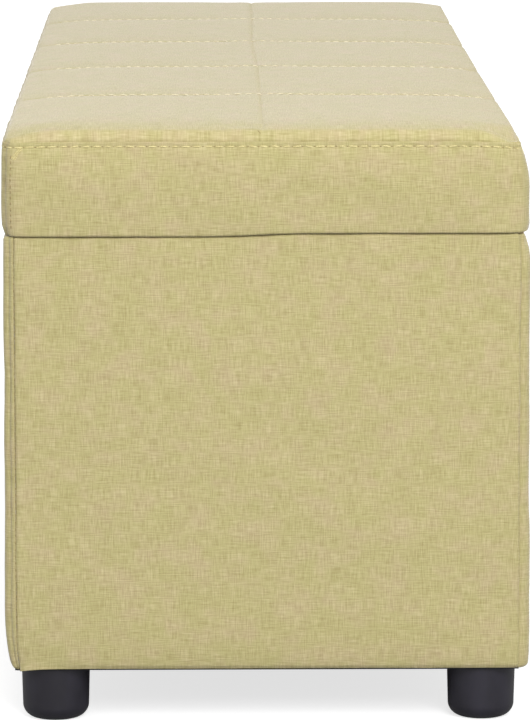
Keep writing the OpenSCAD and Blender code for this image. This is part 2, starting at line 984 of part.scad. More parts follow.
front_panel();
rear_panel();
end_panel(-1);  // left_end_panel
end_panel(1);  // right_end_panel
floor_panel();
corner_post(-1, post_front);  // corner_post_front_left
corner_post(1, post_front);  // corner_post_front_right
corner_post(-1, post_rear);  // corner_post_rear_left
corner_post(1, post_rear);  // corner_post_rear_right
frame_screws();
cover_front();
cover_rear();
cover_end(-1);  // cover_left_end
cover_end(1);  // cover_right_end
storage_lining();
dust_cover();
foot(-1, foot_front);  // foot_front_left
foot(1, foot_front);  // foot_front_right
foot(-1, foot_rear);  // foot_rear_left
foot(1, foot_rear);  // foot_rear_right
foot_screws();
lid_board();
seat_foam();
quilted_top();
seat_side_band();
lid_lining();
hinge_leaf(hinge_places[0], false);  // hinge_left_body_leaf
hinge_leaf(hinge_places[0], true);  // hinge_left_lid_leaf
hinge_pin(hinge_places[0]);  // hinge_left_pin
hinge_leaf(hinge_places[1], false);  // hinge_middle_body_leaf
hinge_leaf(hinge_places[1], true);  // hinge_middle_lid_leaf
hinge_pin(hinge_places[1]);  // hinge_middle_pin
hinge_leaf(hinge_places[2], false);  // hinge_right_body_leaf
hinge_leaf(hinge_places[2], true);  // hinge_right_lid_leaf
hinge_pin(hinge_places[2]);  // hinge_right_pin
hinge_body_screws();
hinge_lid_screws();
stay_base_plate(-1);  // left_stay_base_plate
stay_lower_arm(-1);  // left_stay_lower_arm
stay_upper_arm(-1);  // left_stay_upper_arm
stay_lid_bracket(-1);  // left_stay_lid_bracket
stay_base_rivet(-1);  // left_stay_base_rivet
stay_elbow_rivet(-1);  // left_stay_elbow_rivet
stay_lid_rivet(-1);  // left_stay_lid_rivet
stay_base_plate(1);  // right_stay_base_plate
stay_lower_arm(1);  // right_stay_lower_arm
stay_upper_arm(1);  // right_stay_upper_arm
stay_lid_bracket(1);  // right_stay_lid_bracket
stay_base_rivet(1);  // right_stay_base_rivet
stay_elbow_rivet(1);  // right_stay_elbow_rivet
stay_lid_rivet(1);  // right_stay_lid_rivet
stay_base_screws();
stay_bracket_screws();
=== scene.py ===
"""Looks of a storage bench: a hinged quilted lid on an upholstered box with four moulded feet.

Lengths are in millimetres until a mesh is made. Each class builds one sub-assembly around the CAD frame.
"""

import logging
import math
from dataclasses import dataclass, field
from enum import Enum
from typing import Iterable, Sequence

import bpy
import numpy as np
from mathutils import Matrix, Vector


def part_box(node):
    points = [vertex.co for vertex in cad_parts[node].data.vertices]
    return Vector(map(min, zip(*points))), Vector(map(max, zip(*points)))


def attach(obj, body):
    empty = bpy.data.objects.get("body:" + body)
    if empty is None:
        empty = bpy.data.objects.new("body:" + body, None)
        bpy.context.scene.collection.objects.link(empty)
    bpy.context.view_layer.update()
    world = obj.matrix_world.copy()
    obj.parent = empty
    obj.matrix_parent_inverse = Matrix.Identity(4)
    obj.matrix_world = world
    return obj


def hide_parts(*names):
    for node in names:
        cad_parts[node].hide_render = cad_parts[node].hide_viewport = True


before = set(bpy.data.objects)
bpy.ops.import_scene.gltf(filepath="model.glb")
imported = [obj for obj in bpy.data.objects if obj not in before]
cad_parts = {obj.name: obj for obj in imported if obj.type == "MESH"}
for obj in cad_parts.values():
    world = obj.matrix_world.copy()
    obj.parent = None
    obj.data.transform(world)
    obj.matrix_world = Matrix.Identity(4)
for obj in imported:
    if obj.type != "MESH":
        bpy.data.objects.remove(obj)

MM = 0.001
LOG = logging.getLogger("bench")
# Beyond this distance nothing counts, mm.
NO_LIMIT = 99.0


class Body(Enum):
    """The CAD bodies that pieces ride on."""

    BASE = "base"
    LID = "lid"


class Corner(Enum):
    """Corners of the lid: side along x and y, share of the padding that has sunk, drop of the seam, sunk reach."""

    FRONT_LEFT = (-1, -1, 0.95, 3.0, 12)
    FRONT_RIGHT = (1, -1, 0.93, 1.8, 16)
    REAR_RIGHT = (1, 1, 0.97, 2.8, 22)
    REAR_LEFT = (-1, 1, 0.5, 1.2, 12)


# ---------------------------------------------------------------- colours and shader nodes


def linear(code: str) -> tuple[float, float, float, float]:
    """Turns an sRGB hex colour into the linear colour that shaders take.

    Args:
        code: six hex digits with a leading '#'.

    Returns:
        Red, green, blue and an alpha of 1.
    """
    parts = [int(code[i : i + 2], 16) / 255 for i in (1, 3, 5)]
    low = [c / 12.92 if c <= 0.04045 else ((c + 0.055) / 1.055) ** 2.4 for c in parts]
    return (*low, 1.0)


class Nodes:
    """A node tree under construction."""

    def __init__(self, tree: bpy.types.NodeTree) -> None:
        """Takes the tree to build in."""
        self.tree = tree

    def put(self, socket: bpy.types.NodeSocket, value) -> None:
        """Links an output to an input, or sets a plain value on it.

        Args:
            socket: the input.
            value: an output, or a number, colour or vector.
        """
        if isinstance(value, bpy.types.NodeSocket):
            self.tree.links.new(value, socket)
        else:
            socket.default_value = value

    def add(self, kind: str, sockets: dict | None = None, **settings) -> bpy.types.Node:
        """Adds one node.

        Args:
            kind: the node type without its 'ShaderNode' prefix.
            sockets: values or output sockets to put on the inputs, by name or number.
            **settings: properties of the node itself.

        Returns:
            The new node.
        """
        node = self.tree.nodes.new("ShaderNode" + kind)
        for key, value in settings.items():
            setattr(node, key, value)
        for key, value in (sockets or {}).items():
            self.put(node.inputs[key], value)
        return node


class Shader(Nodes):
    """A material under construction. Patterns are sized in mm on each axis."""

    def __init__(self, name: str) -> None:
        """Starts a material with a Principled shader.

        Args:
            name: the name of the real finish.
        """
        self.material = bpy.data.materials.new(name)
        self.material.use_nodes = True
        super().__init__(self.material.node_tree)
        self.surface = next(n for n in self.tree.nodes if n.type == "BSDF_PRINCIPLED")

    def set(self, **sockets) -> None:
        """Sets or links inputs of the Principled shader, named with '_' for spaces."""
        for key, value in sockets.items():
            self.put(self.surface.inputs[key.replace("_", " ")], value)

    def coordinates(self, size: Sequence[float], source: str = "Object") -> bpy.types.NodeSocket:
        """The object's own space, or its UV map, divided by a pattern's size."""
        sockets = {"Vector": self.add("TexCoord").outputs[source], "Scale": tuple(1 / (s * MM) for s in size)}
        return self.add("Mapping", sockets).outputs["Vector"]

    def noise(
        self, size: Sequence[float], detail: float = 2.0, rough: float = 0.5, source: str = "Object"
    ) -> bpy.types.NodeSocket:
        """A noise of that size and that many octaves, each next one with a share of the one before."""
        sockets = {"Vector": self.coordinates(size, source), "Scale": 1.0, "Detail": detail, "Roughness": rough}
        return self.add("TexNoise", sockets).outputs["Fac"]

    def ramp(self, value: bpy.types.NodeSocket, low: float, high: float) -> bpy.types.NodeSocket:
        """Stretches a value so that low gives 0 and high gives 1, and clamps it."""
        return self.add("MapRange", {"Value": value, "From Min": low, "From Max": high}).outputs["Result"]

    def mix(self, share: bpy.types.NodeSocket, first: object, second: object) -> bpy.types.NodeSocket:
        """Mixes two colours: share 0 gives the first and 1 the second."""
        return self.add("Mix", {0: share, 6: first, 7: second}, data_type="RGBA").outputs[2]

    def sum(self, terms: Iterable[tuple[bpy.types.NodeSocket, float]]) -> bpy.types.NodeSocket:
        """Adds outputs up, each times its own factor.

        Args:
            terms: pairs of an output and its factor.

        Returns:
            The weighted sum.
        """
        total = 0.0
        for value, factor in terms:
            total = self.add("Math", {0: value, 1: factor, 2: total}, operation="MULTIPLY_ADD").outputs[0]
        return total

    def bump(self, height: bpy.types.NodeSocket, depth: float) -> None:
        """Gives the surface a relief of that depth in mm."""
        node = self.add("Bump", {"Height": height, "Distance": depth * MM, "Strength": 1.0})
        self.set(Normal=node.outputs["Normal"])


# ---------------------------------------------------------------- finishes

# A noise: its size on each axis in mm, its octaves, and the share of each next octave.
Pattern = tuple[tuple[float, float, float], float, float]


@dataclass(frozen=True)
class WovenLinen:
    """Linen-look upholstery cloth: crossing slubby threads, warm and greenish patches, a faint bloom."""

    name: str = "woven_linen_look_polyester"
    body: str = "#b0a776"
    light: str = "#c6bb90"
    dark: str = "#988c5d"
    rosy: str = "#b2a17d"
    green: str = "#ada672"
    bloom: str = "#f8f4fa"
    thread: float = 0.85
    slub: float = 12.0

    def make(self) -> bpy.types.Material:
        """Builds the material.

        Returns:
            The material.
        """
        s = Shader(self.name)
        # Threads are drawn a little coarser than real ones, 0.85 mm for 0.7, so that they show from 3.4 m.
        across = s.noise((self.slub, self.thread, 1), 2.0, 0.65, "UV")
        along = s.noise((self.thread, self.slub, 1), 2.0, 0.65, "UV")
        patch = s.noise((24, 19, 1), 3.0, source="UV")
        tone = s.noise((15, 21, 1), 2.0, source="UV")
        weave = s.sum(((across, 0.45), (along, 0.45), (patch, 0.1)))
        cloth = linear(self.body)
        for value, low, high, share, colour in (
            (patch, 0.42, 0.68, 0.8, self.rosy),
            (tone, 0.5, 0.75, 0.8, self.green),
            (weave, 0.5, 0.66, 0.85, self.light),
            (weave, 0.5, 0.34, 0.85, self.dark),
        ):
            cloth = s.mix(s.sum(((s.ramp(value, low, high), share),)), cloth, linear(colour))
        s.set(Base_Color=cloth, Roughness=0.92, Specular_IOR_Level=0.25)
        # A bloom of loose fibres: pale and bluish where the cloth is seen at a low angle.
        s.set(Sheen_Weight=0.42, Sheen_Roughness=0.4, Sheen_Tint=linear(self.bloom))
        s.bump(s.sum(((across, 0.5), (along, 0.5))), 0.5)
        return s.material


@dataclass(frozen=True)
class TwoTone:
    """A finish of two tones: a weighted fine and broad noise choose the tone, and the fine one is the relief.

    Args:
        name: the real finish.
        first: the tone where the noise is low.
        second: the tone where it is high.
        fine: the fine noise.
        broad: the broad noise.
        weights: shares of the fine and the broad noise in the tone.
        span: noise values that give the first and the second tone.
        rough: roughness.
        depth: depth of the relief, mm.
        metal: metallic share.
    """

    name: str
    first: str
    second: str
    fine: Pattern = ((0.8, 0.8, 0.8), 2.0, 0.5)
    broad: Pattern = ((20, 20, 20), 2.0, 0.5)
    weights: tuple[float, float] = (1.0, 0.0)
    span: tuple[float, float] = (0.35, 0.65)
    rough: float = 0.75
    depth: float = 0.1
    metal: float = 0.0

    def patterns(self, s: Shader) -> tuple[bpy.types.NodeSocket, bpy.types.NodeSocket]:
        """The relief and the tone's noise."""
        fine = s.noise(*self.fine)
        return fine, s.sum(zip((fine, s.noise(*self.broad)), self.weights))

    def make(self) -> bpy.types.Material:
        """Builds the material.

        Returns:
            The material.
        """
        s = Shader(self.name)
        relief, tone = self.patterns(s)
        s.set(Base_Color=s.mix(s.ramp(tone, *self.span), linear(self.first), linear(self.second)))
        s.set(Roughness=self.rough, Metallic=self.metal)
        s.bump(relief, self.depth)
        return s.material


@dataclass(frozen=True)
class Thread(TwoTone):
    """Sewing thread: a spun cord a little paler than the cloth."""

    name: str = "pale_sewing_thread"
    first: str = "#bfb27a"
    second: str = "#ddd29b"
    rough: float = 0.7
    depth: float = 0.15


@dataclass(frozen=True)
class NonWoven(TwoTone):
    """Black spun-bonded cloth: flat, dull, with a fine felted grain."""

    name: str = "black_spunbond_cloth"
    first: str = "#161617"
    second: str = "#2b2b2c"
    fine: Pattern = ((1.4, 1.4, 1.4), 4.0, 0.7)
    broad: Pattern = ((24, 24, 24), 2.0, 0.5)
    weights: tuple[float, float] = (0.7, 0.5)
    span: tuple[float, float] = (0.4, 0.8)
    rough: float = 0.85
    depth: float = 0.2


@dataclass(frozen=True)
class ParticleBoard(TwoTone):
    """Raw particle board: pale, speckled with chips."""

    name: str = "raw_particle_board"
    first: str = "#a98a5e"
    second: str = "#cdb38a"
    fine: Pattern = ((2.2, 2.2, 2.2), 4.0, 0.6)
    broad: Pattern = ((13.2, 13.2, 13.2), 1.0, 0.5)
    weights: tuple[float, float] = (0.8, 0.2)
    depth: float = 0.12


@dataclass(frozen=True)
class SawnPine(TwoTone):
    """Sawn softwood: warm, with grain drawn out along the post."""

    name: str = "sawn_pine"
    first: str = "#b98f54"
    second: str = "#dcc08c"
    fine: Pattern = ((3, 3, 60), 4.0, 0.6)
    broad: Pattern = ((18, 18, 360), 1.0, 0.5)
    weights: tuple[float, float] = (0.65, 0.35)
    depth: float = 0.12


@dataclass(frozen=True)
class Foam(TwoTone):
    """Cut polyurethane foam: cream, with open cells."""

    name: str = "cut_seat_foam"
    first: str = "#c7ba86"
    second: str = "#e8dfb4"
    span: tuple[float, float] = (0.1, 0.6)
    rough: float = 0.95
    depth: float = 0.3

    def patterns(self, s: Shader) -> tuple[bpy.types.NodeSocket, bpy.types.NodeSocket]:
        """Cells of 1.6 mm for both."""
        cells = s.add("TexVoronoi", {"Vector": s.coordinates((1.6, 1.6, 1.6)), "Scale": 1.0}).outputs["Distance"]
        return cells, cells


@dataclass(frozen=True)
class MouldedPlastic(TwoTone):
    """Moulded foot plastic: blue-black, satin, with a fine spark-eroded texture."""

    name: str = "black_moulded_plastic"
    first: str = "#1b1921"
    second: str = "#24222c"
    fine: Pattern = ((0.9, 0.9, 0.9), 3.0, 0.6)
    broad: Pattern = ((20, 20, 30), 2.0, 0.5)
    weights: tuple[float, float] = (0.0, 1.0)
    rough: float = 0.42
    depth: float = 0.03


@dataclass(frozen=True)
class PlatedSteel(TwoTone):
    """Zinc-plated steel: bright, with the cloudy bloom of passivation and fine scratches."""

    first: str = "#c9cbc9"
    second: str = "#9fa3a4"
    fine: Pattern = ((0.4, 6, 0.4), 2.0, 0.5)
    broad: Pattern = ((7, 7, 7), 3.0, 0.5)
    weights: tuple[float, float] = (0.0, 1.0)
    span: tuple[float, float] = (0.35, 0.7)
    rough: float = 0.34
    depth: float = 0.02
    metal: float = 1.0


@dataclass(frozen=True)
class Paint:
    """Matt floor paint: almost white to the camera, with a softer bounce onto the object."""

    name: str = "matt_studio_floor"
    pale: str = "#b8b8b8"
    shade: str = "#b4b4b4"
    bounce: str = "#9a9a9a"
    glow: float = 0.72

    def make(self) -> bpy.types.Material:
        """Builds the material.

        Returns:
            The material.
        """
        s = Shader(self.name)
        paint = s.mix(s.noise((900, 900, 900), 1.0), linear(self.shade), linear(self.pale))
        seen = s.add("LightPath").outputs["Is Camera Ray"]
        s.set(Base_Color=s.mix(seen, linear(self.bounce), paint), Roughness=0.9, Specular_IOR_Level=0.1)
        # The camera alone sees the paint's own white, so that the shadow under the bench stays faint.
        s.set(Emission_Color=s.mix(seen, (0, 0, 0, 1), (1, 1, 1, 1)), Emission_Strength=self.glow)
        return s.material


class Finishes:
    """Every material of the scene, made once."""

    def __init__(self) -> None:
        """Makes the materials."""
        self.linen = WovenLinen().make()
        self.thread = Thread().make()
        # The quilting thread's pale cream is partly its own colour and partly painted sheen, as the thread has no
        # sheen of its own.
        self.quilt_thread_painted_sheen = Thread("cream_quilting_thread_painted_sheen", "#cfc5a4", "#e0d8bc").make()
        # The seam thread's dark brown is partly its own colour and partly painted shade of the needle holes along
        # the seams.
        self.seam_thread_painted_shade = Thread("brown_seam_cord_and_painted_shade", "#86764a", "#a39164").make()
        self.black = NonWoven().make()
        self.board = ParticleBoard().make()
        self.pine = SawnPine().make()
        self.foam = Foam().make()
        self.plastic = MouldedPlastic().make()
        self.hinge = PlatedSteel("zinc_plated_hinge_steel").make()
        self.stay = PlatedSteel("zinc_plated_stay_steel", "#b9bcbd", "#8f9496", rough=0.4).make()
        self.screw = PlatedSteel("bright_zinc_screw", "#d4d2c6", "#a9a696", rough=0.3).make()
        self.floor = Paint().make()

    def of_node(self, name: str) -> bpy.types.Material:
        """The finish of a CAD node.

        Args:
            name: the node's name.

        Returns:
            Its material.
        """
        table = (
            (("screws", "rivet", "_pin"), self.screw),
            (("hinge",), self.hinge),
            (("stay",), self.stay),
            (("corner_post",), self.pine),
            (("foot",), self.plastic),
            (("foam",), self.foam),
            (("lining", "dust"), self.black),
            (("cover", "band", "quilted"), self.linen),
            (("panel", "board"), self.board),
        )
        return next(material for keys, material in table if any(k in name for k in keys))


# ---------------------------------------------------------------- meshes


def make_object(
    name: str, points: np.ndarray, faces: list, material: bpy.types.Material, uv: np.ndarray | None = None
) -> bpy.types.Object:
    """Makes a smooth mesh object at the origin.

    Args:
        name: the object's name.
        points: corners, mm, one row each.
        faces: tuples of corner numbers.
        material: the finish.
        uv: cloth coordinates of every face corner, m, in the order of the faces.

    Returns:
        The object.
    """
    mesh = bpy.data.meshes.new(name)
    mesh.from_pydata((points.reshape(-1, 3) * MM).tolist(), [], faces)
    if uv is not None:
        mesh.uv_layers.new(name="cloth").data.foreach_set("uv", uv.astype(np.float32).ravel())
    mesh.polygons.foreach_set("use_smooth", np.ones(len(mesh.polygons), bool))
    mesh.materials.append(material)
    mesh.update()
    made = bpy.data.objects.new(name, mesh)
    bpy.context.scene.collection.objects.link(made)
    return made


@dataclass
class Grid:
    """A surface as rows of points; u runs over rows and v along each row.

    Args:
        points: (rows, columns, 3), mm.
        u: cloth length at each row, mm; one more value than rows if the grid closes.
        v: cloth length at each column, mm.
        closed: whether the last row joins the first.
    """

    points: np.ndarray
    u: np.ndarray
    v: np.ndarray
    closed: bool = False

    def quads(self) -> tuple[np.ndarray, np.ndarray]:
        """Faces of the grid, and the cloth coordinates of their corners.

        Returns:
            (faces, 4) corner numbers and (faces, 4, 2) coordinates in mm.
        """
        rows, columns = self.points.shape[:2]
        i, j = np.meshgrid(np.arange(rows if self.closed else rows - 1), np.arange(columns - 1), indexing="ij")
        i, j = i.ravel(), j.ravel()
        ring = ((i, j), (i + 1, j), (i + 1, j + 1), (i, j + 1))
        numbers = np.stack([(a % rows) * columns + b for a, b in ring], 1)
        places = np.stack([np.stack([self.u[a], self.v[b]], 1) for a, b in ring], 1)
        return numbers, places

    def normals(self) -> np.ndarray:
        """Unit normals at every point, from the cross product of the two grid directions.

        Returns:
            (rows, columns, 3).
        """
        p = self.points
        du = (np.roll(p, -1, 0) - np.roll(p, 1, 0)) if self.closed else np.gradient(p, axis=0)
        dv = np.gradient(p, axis=1)
        n = np.cross(du, dv)
        return n / np.maximum(np.linalg.norm(n, axis=2, keepdims=True), 1e-9)

    def at(self, u: np.ndarray, v: np.ndarray) -> tuple[np.ndarray, np.ndarray]:
        """Reads the surface at cloth coordinates.

        Args:
            u: lengths over the rows, mm.
            v: lengths along a row, mm.

        Returns:
            (n, 3) points in mm and (n, 3) normals.
        """
        points, normals = self.points, self.normals()
        if self.closed:
            u = np.mod(u, self.u[-1])
            points, normals = (np.concatenate([a, a[:1]]) for a in (points, normals))
        i = np.interp(u, self.u, np.arange(len(self.u)))
        j = np.interp(v, self.v, np.arange(len(self.v)))
        return bilinear(points, i, j), bilinear(normals, i, j)

    def shell(self, name: str, inner: np.ndarray, material: bpy.types.Material) -> bpy.types.Object:
        """Closes the grid with an inner surface of the same layout.

        Args:
            name: the object's name.
            inner: (rows, columns, 3) points behind the grid, mm.
            material: the finish.

        Returns:
            The closed mesh object.
        """
        rows, columns = self.points.shape[:2]
        front, places = self.quads()
        offset = rows * columns
        back = front[:, ::-1] + offset
        k = np.arange(rows if self.closed else rows - 1)
        n = (k + 1) % rows
        rims = [
            np.stack([k * columns, offset + k * columns, offset + n * columns, n * columns], 1),
            np.stack([n * columns, n * columns + offset, k * columns + offset, k * columns], 1) + columns - 1,
        ]
        if not self.closed:
            c = np.arange(columns - 1)
            last = (rows - 1) * columns
            rims.append(np.stack([c + 1, c + 1 + offset, c + offset, c], 1))
            rims.append(np.stack([c, c + offset, c + 1 + offset, c + 1], 1) + last)
        edge = np.concatenate(rims)
        points = np.concatenate([self.points.reshape(-1, 3), inner.reshape(-1, 3)])
        flat = np.zeros((len(edge), 4, 2))
        uv = np.concatenate([places, places[:, ::-1], flat]) * MM
        return make_object(name, points, np.concatenate([front, back, edge]).tolist(), material, uv)


def ripple(a: np.ndarray, b: np.ndarray, wave: float, seed: int, waves: int = 7) -> np.ndarray:
    """An uneven swell: a sum of sine waves in random directions, between about -1 and 1.

    Args:
        a: first coordinate, mm.
        b: second coordinate, mm.
        wave: typical wavelength, mm.
        seed: choice of the waves.
        waves: how many.

    Returns:
        Heights, the shape of a and b.
    """
    rng = np.random.default_rng(seed)
    angle = rng.uniform(0, np.pi, waves)
    length = wave * rng.uniform(0.6, 1.7, waves)
    phase = rng.uniform(0, 2 * np.pi, waves)
    a, b = np.broadcast_arrays(a, b)
    turn = (np.cos(angle) * a[..., None] + np.sin(angle) * b[..., None]) * 2 * np.pi / length + phase
    return np.sin(turn).sum(-1) / np.sqrt(waves * 2)


def run_along(path: np.ndarray) -> np.ndarray:
    """Length from the first point of a path to each of its points."""
    return np.concatenate([[0], np.cumsum(np.linalg.norm(np.diff(path, axis=0), axis=1))])


def bilinear(values: np.ndarray, i: np.ndarray, j: np.ndarray) -> np.ndarray:
    """Reads a table between its entries.

    Args:
        values: (rows, columns, ...) table.
        i: fractional row numbers.
        j: fractional column numbers, the shape of i.

    Returns:
        Values at those places.
    """
    i = np.clip(i, 0, values.shape[0] - 1.0001)
    j = np.clip(j, 0, values.shape[1] - 1.0001)
    a, b = i.astype(int), j.astype(int)
    s, t = i - a, j - b
    if values.ndim == 3:
        s, t = s[..., None], t[..., None]
    low = values[a, b] * (1 - s) + values[a + 1, b] * s
    high = values[a, b + 1] * (1 - s) + values[a + 1, b + 1] * s
    return low * (1 - t) + high * t


# ---------------------------------------------------------------- cloth


@dataclass(frozen=True)
class ClothPanel:
    """A flat panel of cloth, sewn down along lines and blown up from behind by its padding.

    Args:
        width: size along u, mm.
        height: size along v, mm.
        step: grid spacing, mm.
        slack: share by which the cut is longer than the frame that holds it.
        pressure: push of the padding.
        frames: steps of the simulation.
        seed: choice of the first unevenness.
    """

    width: float
    height: float
    step: float = 8.0
    slack: float = 0.02
    pressure: float = 4.0
    frames: int = 22
    seed: int = 1

    def settle(self, u_lines: Sequence[float] = (), v_lines: Sequence[float] = ()) -> np.ndarray:
        """Simulates the panel and returns how far each grid point ends up from flat.

        Args:
            u_lines: places along u where the cloth is sewn down, mm.
            v_lines: places along v where it is sewn down, mm.

        Returns:
            (rows, columns, 3) shifts in mm along u, v and outwards.
        """
        rows = int(round(self.width / self.step)) + 1
        columns = int(round(self.height / self.step)) + 1
        u = np.linspace(0, self.width, rows)
        v = np.linspace(0, self.height, columns)
        rng = np.random.default_rng(self.seed)
        held = np.zeros((rows, columns), bool)
        held[[0, -1], :] = held[:, [0, -1]] = True
        for place in u_lines:
            held[int(round(place / self.width * (rows - 1))), :] = True
        for place in v_lines:
            held[:, int(round(place / self.height * (columns - 1)))] = True
        flat = np.stack([*np.meshgrid(u, v, indexing="ij"), np.zeros((rows, columns))], 2)
        start = flat.copy()
        start[..., 2] += rng.uniform(0, 0.6, (rows, columns)) * ~held
        made = make_object("cloth_panel", start, Grid(start, u, v).quads()[0].tolist(), None)
        pins = made.vertex_groups.new(name="sewn")
        pins.add(np.flatnonzero(held.ravel()).tolist(), 1.0, "REPLACE")
        cloth = made.modifiers.new("cloth", "CLOTH")
        s = cloth.settings
        s.quality, s.mass, s.air_damping = 6, 0.1, 2.0
        s.tension_stiffness, s.compression_stiffness, s.shear_stiffness = 20.0, 20.0, 8.0
        s.bending_stiffness = 0.3
        s.vertex_group_mass, s.pin_stiffness = "sewn", 1.0
        s.use_pressure, s.uniform_pressure_force = True, self.pressure
        s.shrink_min = s.shrink_max = -self.slack
        s.effector_weights.gravity = 0.0
        cloth.point_cache.frame_start, cloth.point_cache.frame_end = 1, self.frames
        for number in range(1, self.frames + 1):
            bpy.context.scene.frame_set(number)
        result = made.evaluated_get(bpy.context.evaluated_depsgraph_get()).to_mesh()
        moved = np.empty(rows * columns * 3, np.float32)
        result.vertices.foreach_get("co", moved)
        bpy.data.objects.remove(made)
        bpy.context.scene.frame_set(1)
        return moved.reshape(rows, columns, 3) / MM - flat


# ---------------------------------------------------------------- outline of the bench


@dataclass(frozen=True)
class Outline:
    """The round-cornered outline of the covers, counterclockwise from the front left corner.

    A place on it is a number q from 0 to 8: even wholes start the straight sides (0 front, 2 right,
    4 rear, 6 left) and odd wholes start the arcs after them.

    Args:
        x: its left and right side, mm.
        y: its front and rear side, mm.
        radius: of its corners, mm.
    """

    x: tuple[float, float]
    y: tuple[float, float]
    radius: float

    def frame(self, q: np.ndarray) -> tuple[np.ndarray, np.ndarray]:
        """Corner signs and outward normals at places on the outline.

        Args:
            q: places.

        Returns:
            (..., 2) signs that run from corner to corner, and (..., 2) unit normals.
        """
        q = np.mod(np.asarray(q, float), 8)
        side, part = (q // 2).astype(int), q % 2
        corners = np.array([[-1, -1], [1, -1], [1, 1], [-1, 1], [-1, -1]], float)
        run = np.minimum(part, 1)[..., None]
        signs = corners[side] * (1 - run) + corners[side + 1] * run
        angle = np.radians(-90 + 90 * (side + np.maximum(part - 1, 0)))
        return signs, np.stack([np.cos(angle), np.sin(angle)], -1)

    def points(self, q: np.ndarray, inset: np.ndarray, z: np.ndarray) -> np.ndarray:
        """Points at places on the outline: corner centre + normal times (radius - inset).

        Args:
            q: places.
            inset: how far inside the outline, mm.
            z: heights, mm.

        Returns:
            (..., 3), mm.
        """
        signs, normal = self.frame(q)
        middle = np.array([sum(self.x) / 2, sum(self.y) / 2])
        half = np.array([(self.x[1] - self.x[0]) / 2, (self.y[1] - self.y[0]) / 2]) - self.radius
        flat = middle + signs * half + normal * (self.radius - np.asarray(inset))[..., None]
        return np.concatenate([flat, np.broadcast_to(z, flat.shape[:-1])[..., None]], -1)

    def from_corner(self, corner: Corner, x: np.ndarray, y: np.ndarray) -> np.ndarray:
        """Distance of points from a square corner of the outline."""
        side_x, side_y = corner.value[:2]
        return np.hypot(x - self.x[side_x > 0], y - self.y[side_y > 0])

    def seam_drop(self, x: np.ndarray, y: np.ndarray) -> np.ndarray:
        """How far the edge seam of the lid sinks near the corners."""
        return sum(c.value[3] * np.exp(-((self.from_corner(c, x, y) / 20) ** 1.3)) for c in Corner)

    def places(self, start: float, end: float, step: float, seams: Sequence[float] = ()) -> np.ndarray:
        """Places from start to end, closer together on arcs and near seams.

        Args:
            start: first place.
            end: last place, may pass 8.
            step: spacing on straight sides, mm.
            seams: places of seams and cuts, which get a fine spacing around them.

        Returns:
            Increasing places, both ends included.
        """
        arc = self.radius * math.pi / 2
        lengths = [self.x[1] - self.x[0], self.y[1] - self.y[0]] * 2
        marks = [start, end]
        for whole in range(int(start), int(math.ceil(end))):
            straight = whole % 2 == 0
            length = lengths[whole // 2 % 4] - 2 * self.radius if straight else arc
            count = int(math.ceil(length / step)) if straight else 10
            marks.extend(whole + np.arange(count) / count)
            for seam in seams:
                for turn in (seam, seam + 8):
                    offsets = np.array([-6, -4, -2.6, -1.8, -1.1, -0.5, 0, 0.5, 1.1, 1.8, 2.6, 4, 6])
                    near = turn + offsets / (length if int(turn) == whole else lengths[0])
                    marks.extend(near[(near > whole) & (near < whole + 1)] if int(turn) == whole else [])
        marks = np.unique(np.round([m for m in marks if start <= m <= end], 6))
        keep = np.concatenate([[True], np.diff(marks) > 2e-4])
        keep[-1] = True
        return marks[keep]


@dataclass(frozen=True)
class Wrap:
    """How a cover runs up the side: turned in below, round the lower edge, up the face, in again above.

    Args:
        low: height of the lower edge, mm.
        high: height of the upper edge, mm.
        low_round: radius of the lower edge, mm.
        high_round: radius of the upper edge, mm.
        turn_low: how far it is turned in below, mm.
        turn_high: how far it is turned in above, mm.
        sink: how much lower the turned-in part above lies than the upper edge, mm.
        step: spacing on the face, mm.
        skin: thickness over the board, mm.
        fold: thickness of what is turned in, mm.
        fine: heights that get lines of their own, mm.
    """

    low: float
    high: float
    low_round: float
    high_round: float
    turn_low: float
    turn_high: float
    step: float = 7.0
    skin: float = 4.7
    fold: float = 1.0
    fine: tuple[float, ...] = ()
    sink: float = 0.0

    def outer(self) -> tuple[np.ndarray, np.ndarray]:
        """The outer line of the section.

        Returns:
            Insets and heights, mm.
        """
        quarter = np.linspace(0, np.pi / 2, 7)
        count = int((self.high - self.low) / self.step)
        face = np.linspace(self.low + self.low_round, self.high - self.high_round, count)[1:-1]
        if self.fine:
            clear = np.abs(face[:, None] - self.fine).min(1) > 1.6
            face = np.sort(np.concatenate([face[clear], self.fine]))
        inset = np.concatenate(
            [
                np.linspace(self.turn_low, self.low_round, 4)[:-1],
                self.low_round * (1 - np.sin(quarter)),
                np.zeros(len(face)),
                self.high_round * (1 - np.cos(quarter)),
                np.linspace(self.high_round, self.turn_high, 4)[1:],
            ]
        )
        height = np.concatenate(
            [
                np.full(3, self.low),
                self.low + self.low_round * (1 - np.cos(quarter)),
                face,
                self.high - self.high_round * (1 - np.sin(quarter)),
                self.high - np.linspace(0, self.sink, 4)[1:],
            ]
        )
        return inset, height

    def inner(self) -> tuple[np.ndarray, np.ndarray]:
        """The line behind the outer one, point for point.

        Returns:
            Insets and heights, mm.
        """
        inset, height = self.outer()
        share = (height - self.low) / (self.high - self.low)
        low, high = self.low + self.fold, self.high - self.fold
        return np.maximum(inset, self.skin), low + (high - low) * share

    def along(self) -> np.ndarray:
        """Length along the outer line."""
        return run_along(np.stack(self.outer(), 1))

    def free(self) -> np.ndarray:
        """How freely the outer line moves: 1 on the face, falling to 0 where the cloth is stapled down.

        Returns:
            Shares, 0 to 1.
        """
        inset, height = self.outer()
        upper = height > (self.low + self.high) / 2
        edge = np.where(upper, self.high_round, self.low_round)
        turn = np.where(upper, self.turn_high, self.turn_low)
        return np.clip((turn - inset) / (turn - edge), 0, 1)

    def length_at(self, height: float) -> float:
        """Length along the outer line up to a height on the face."""
        return float(np.interp(height, self.outer()[1], self.along()))


# ---------------------------------------------------------------- stitches


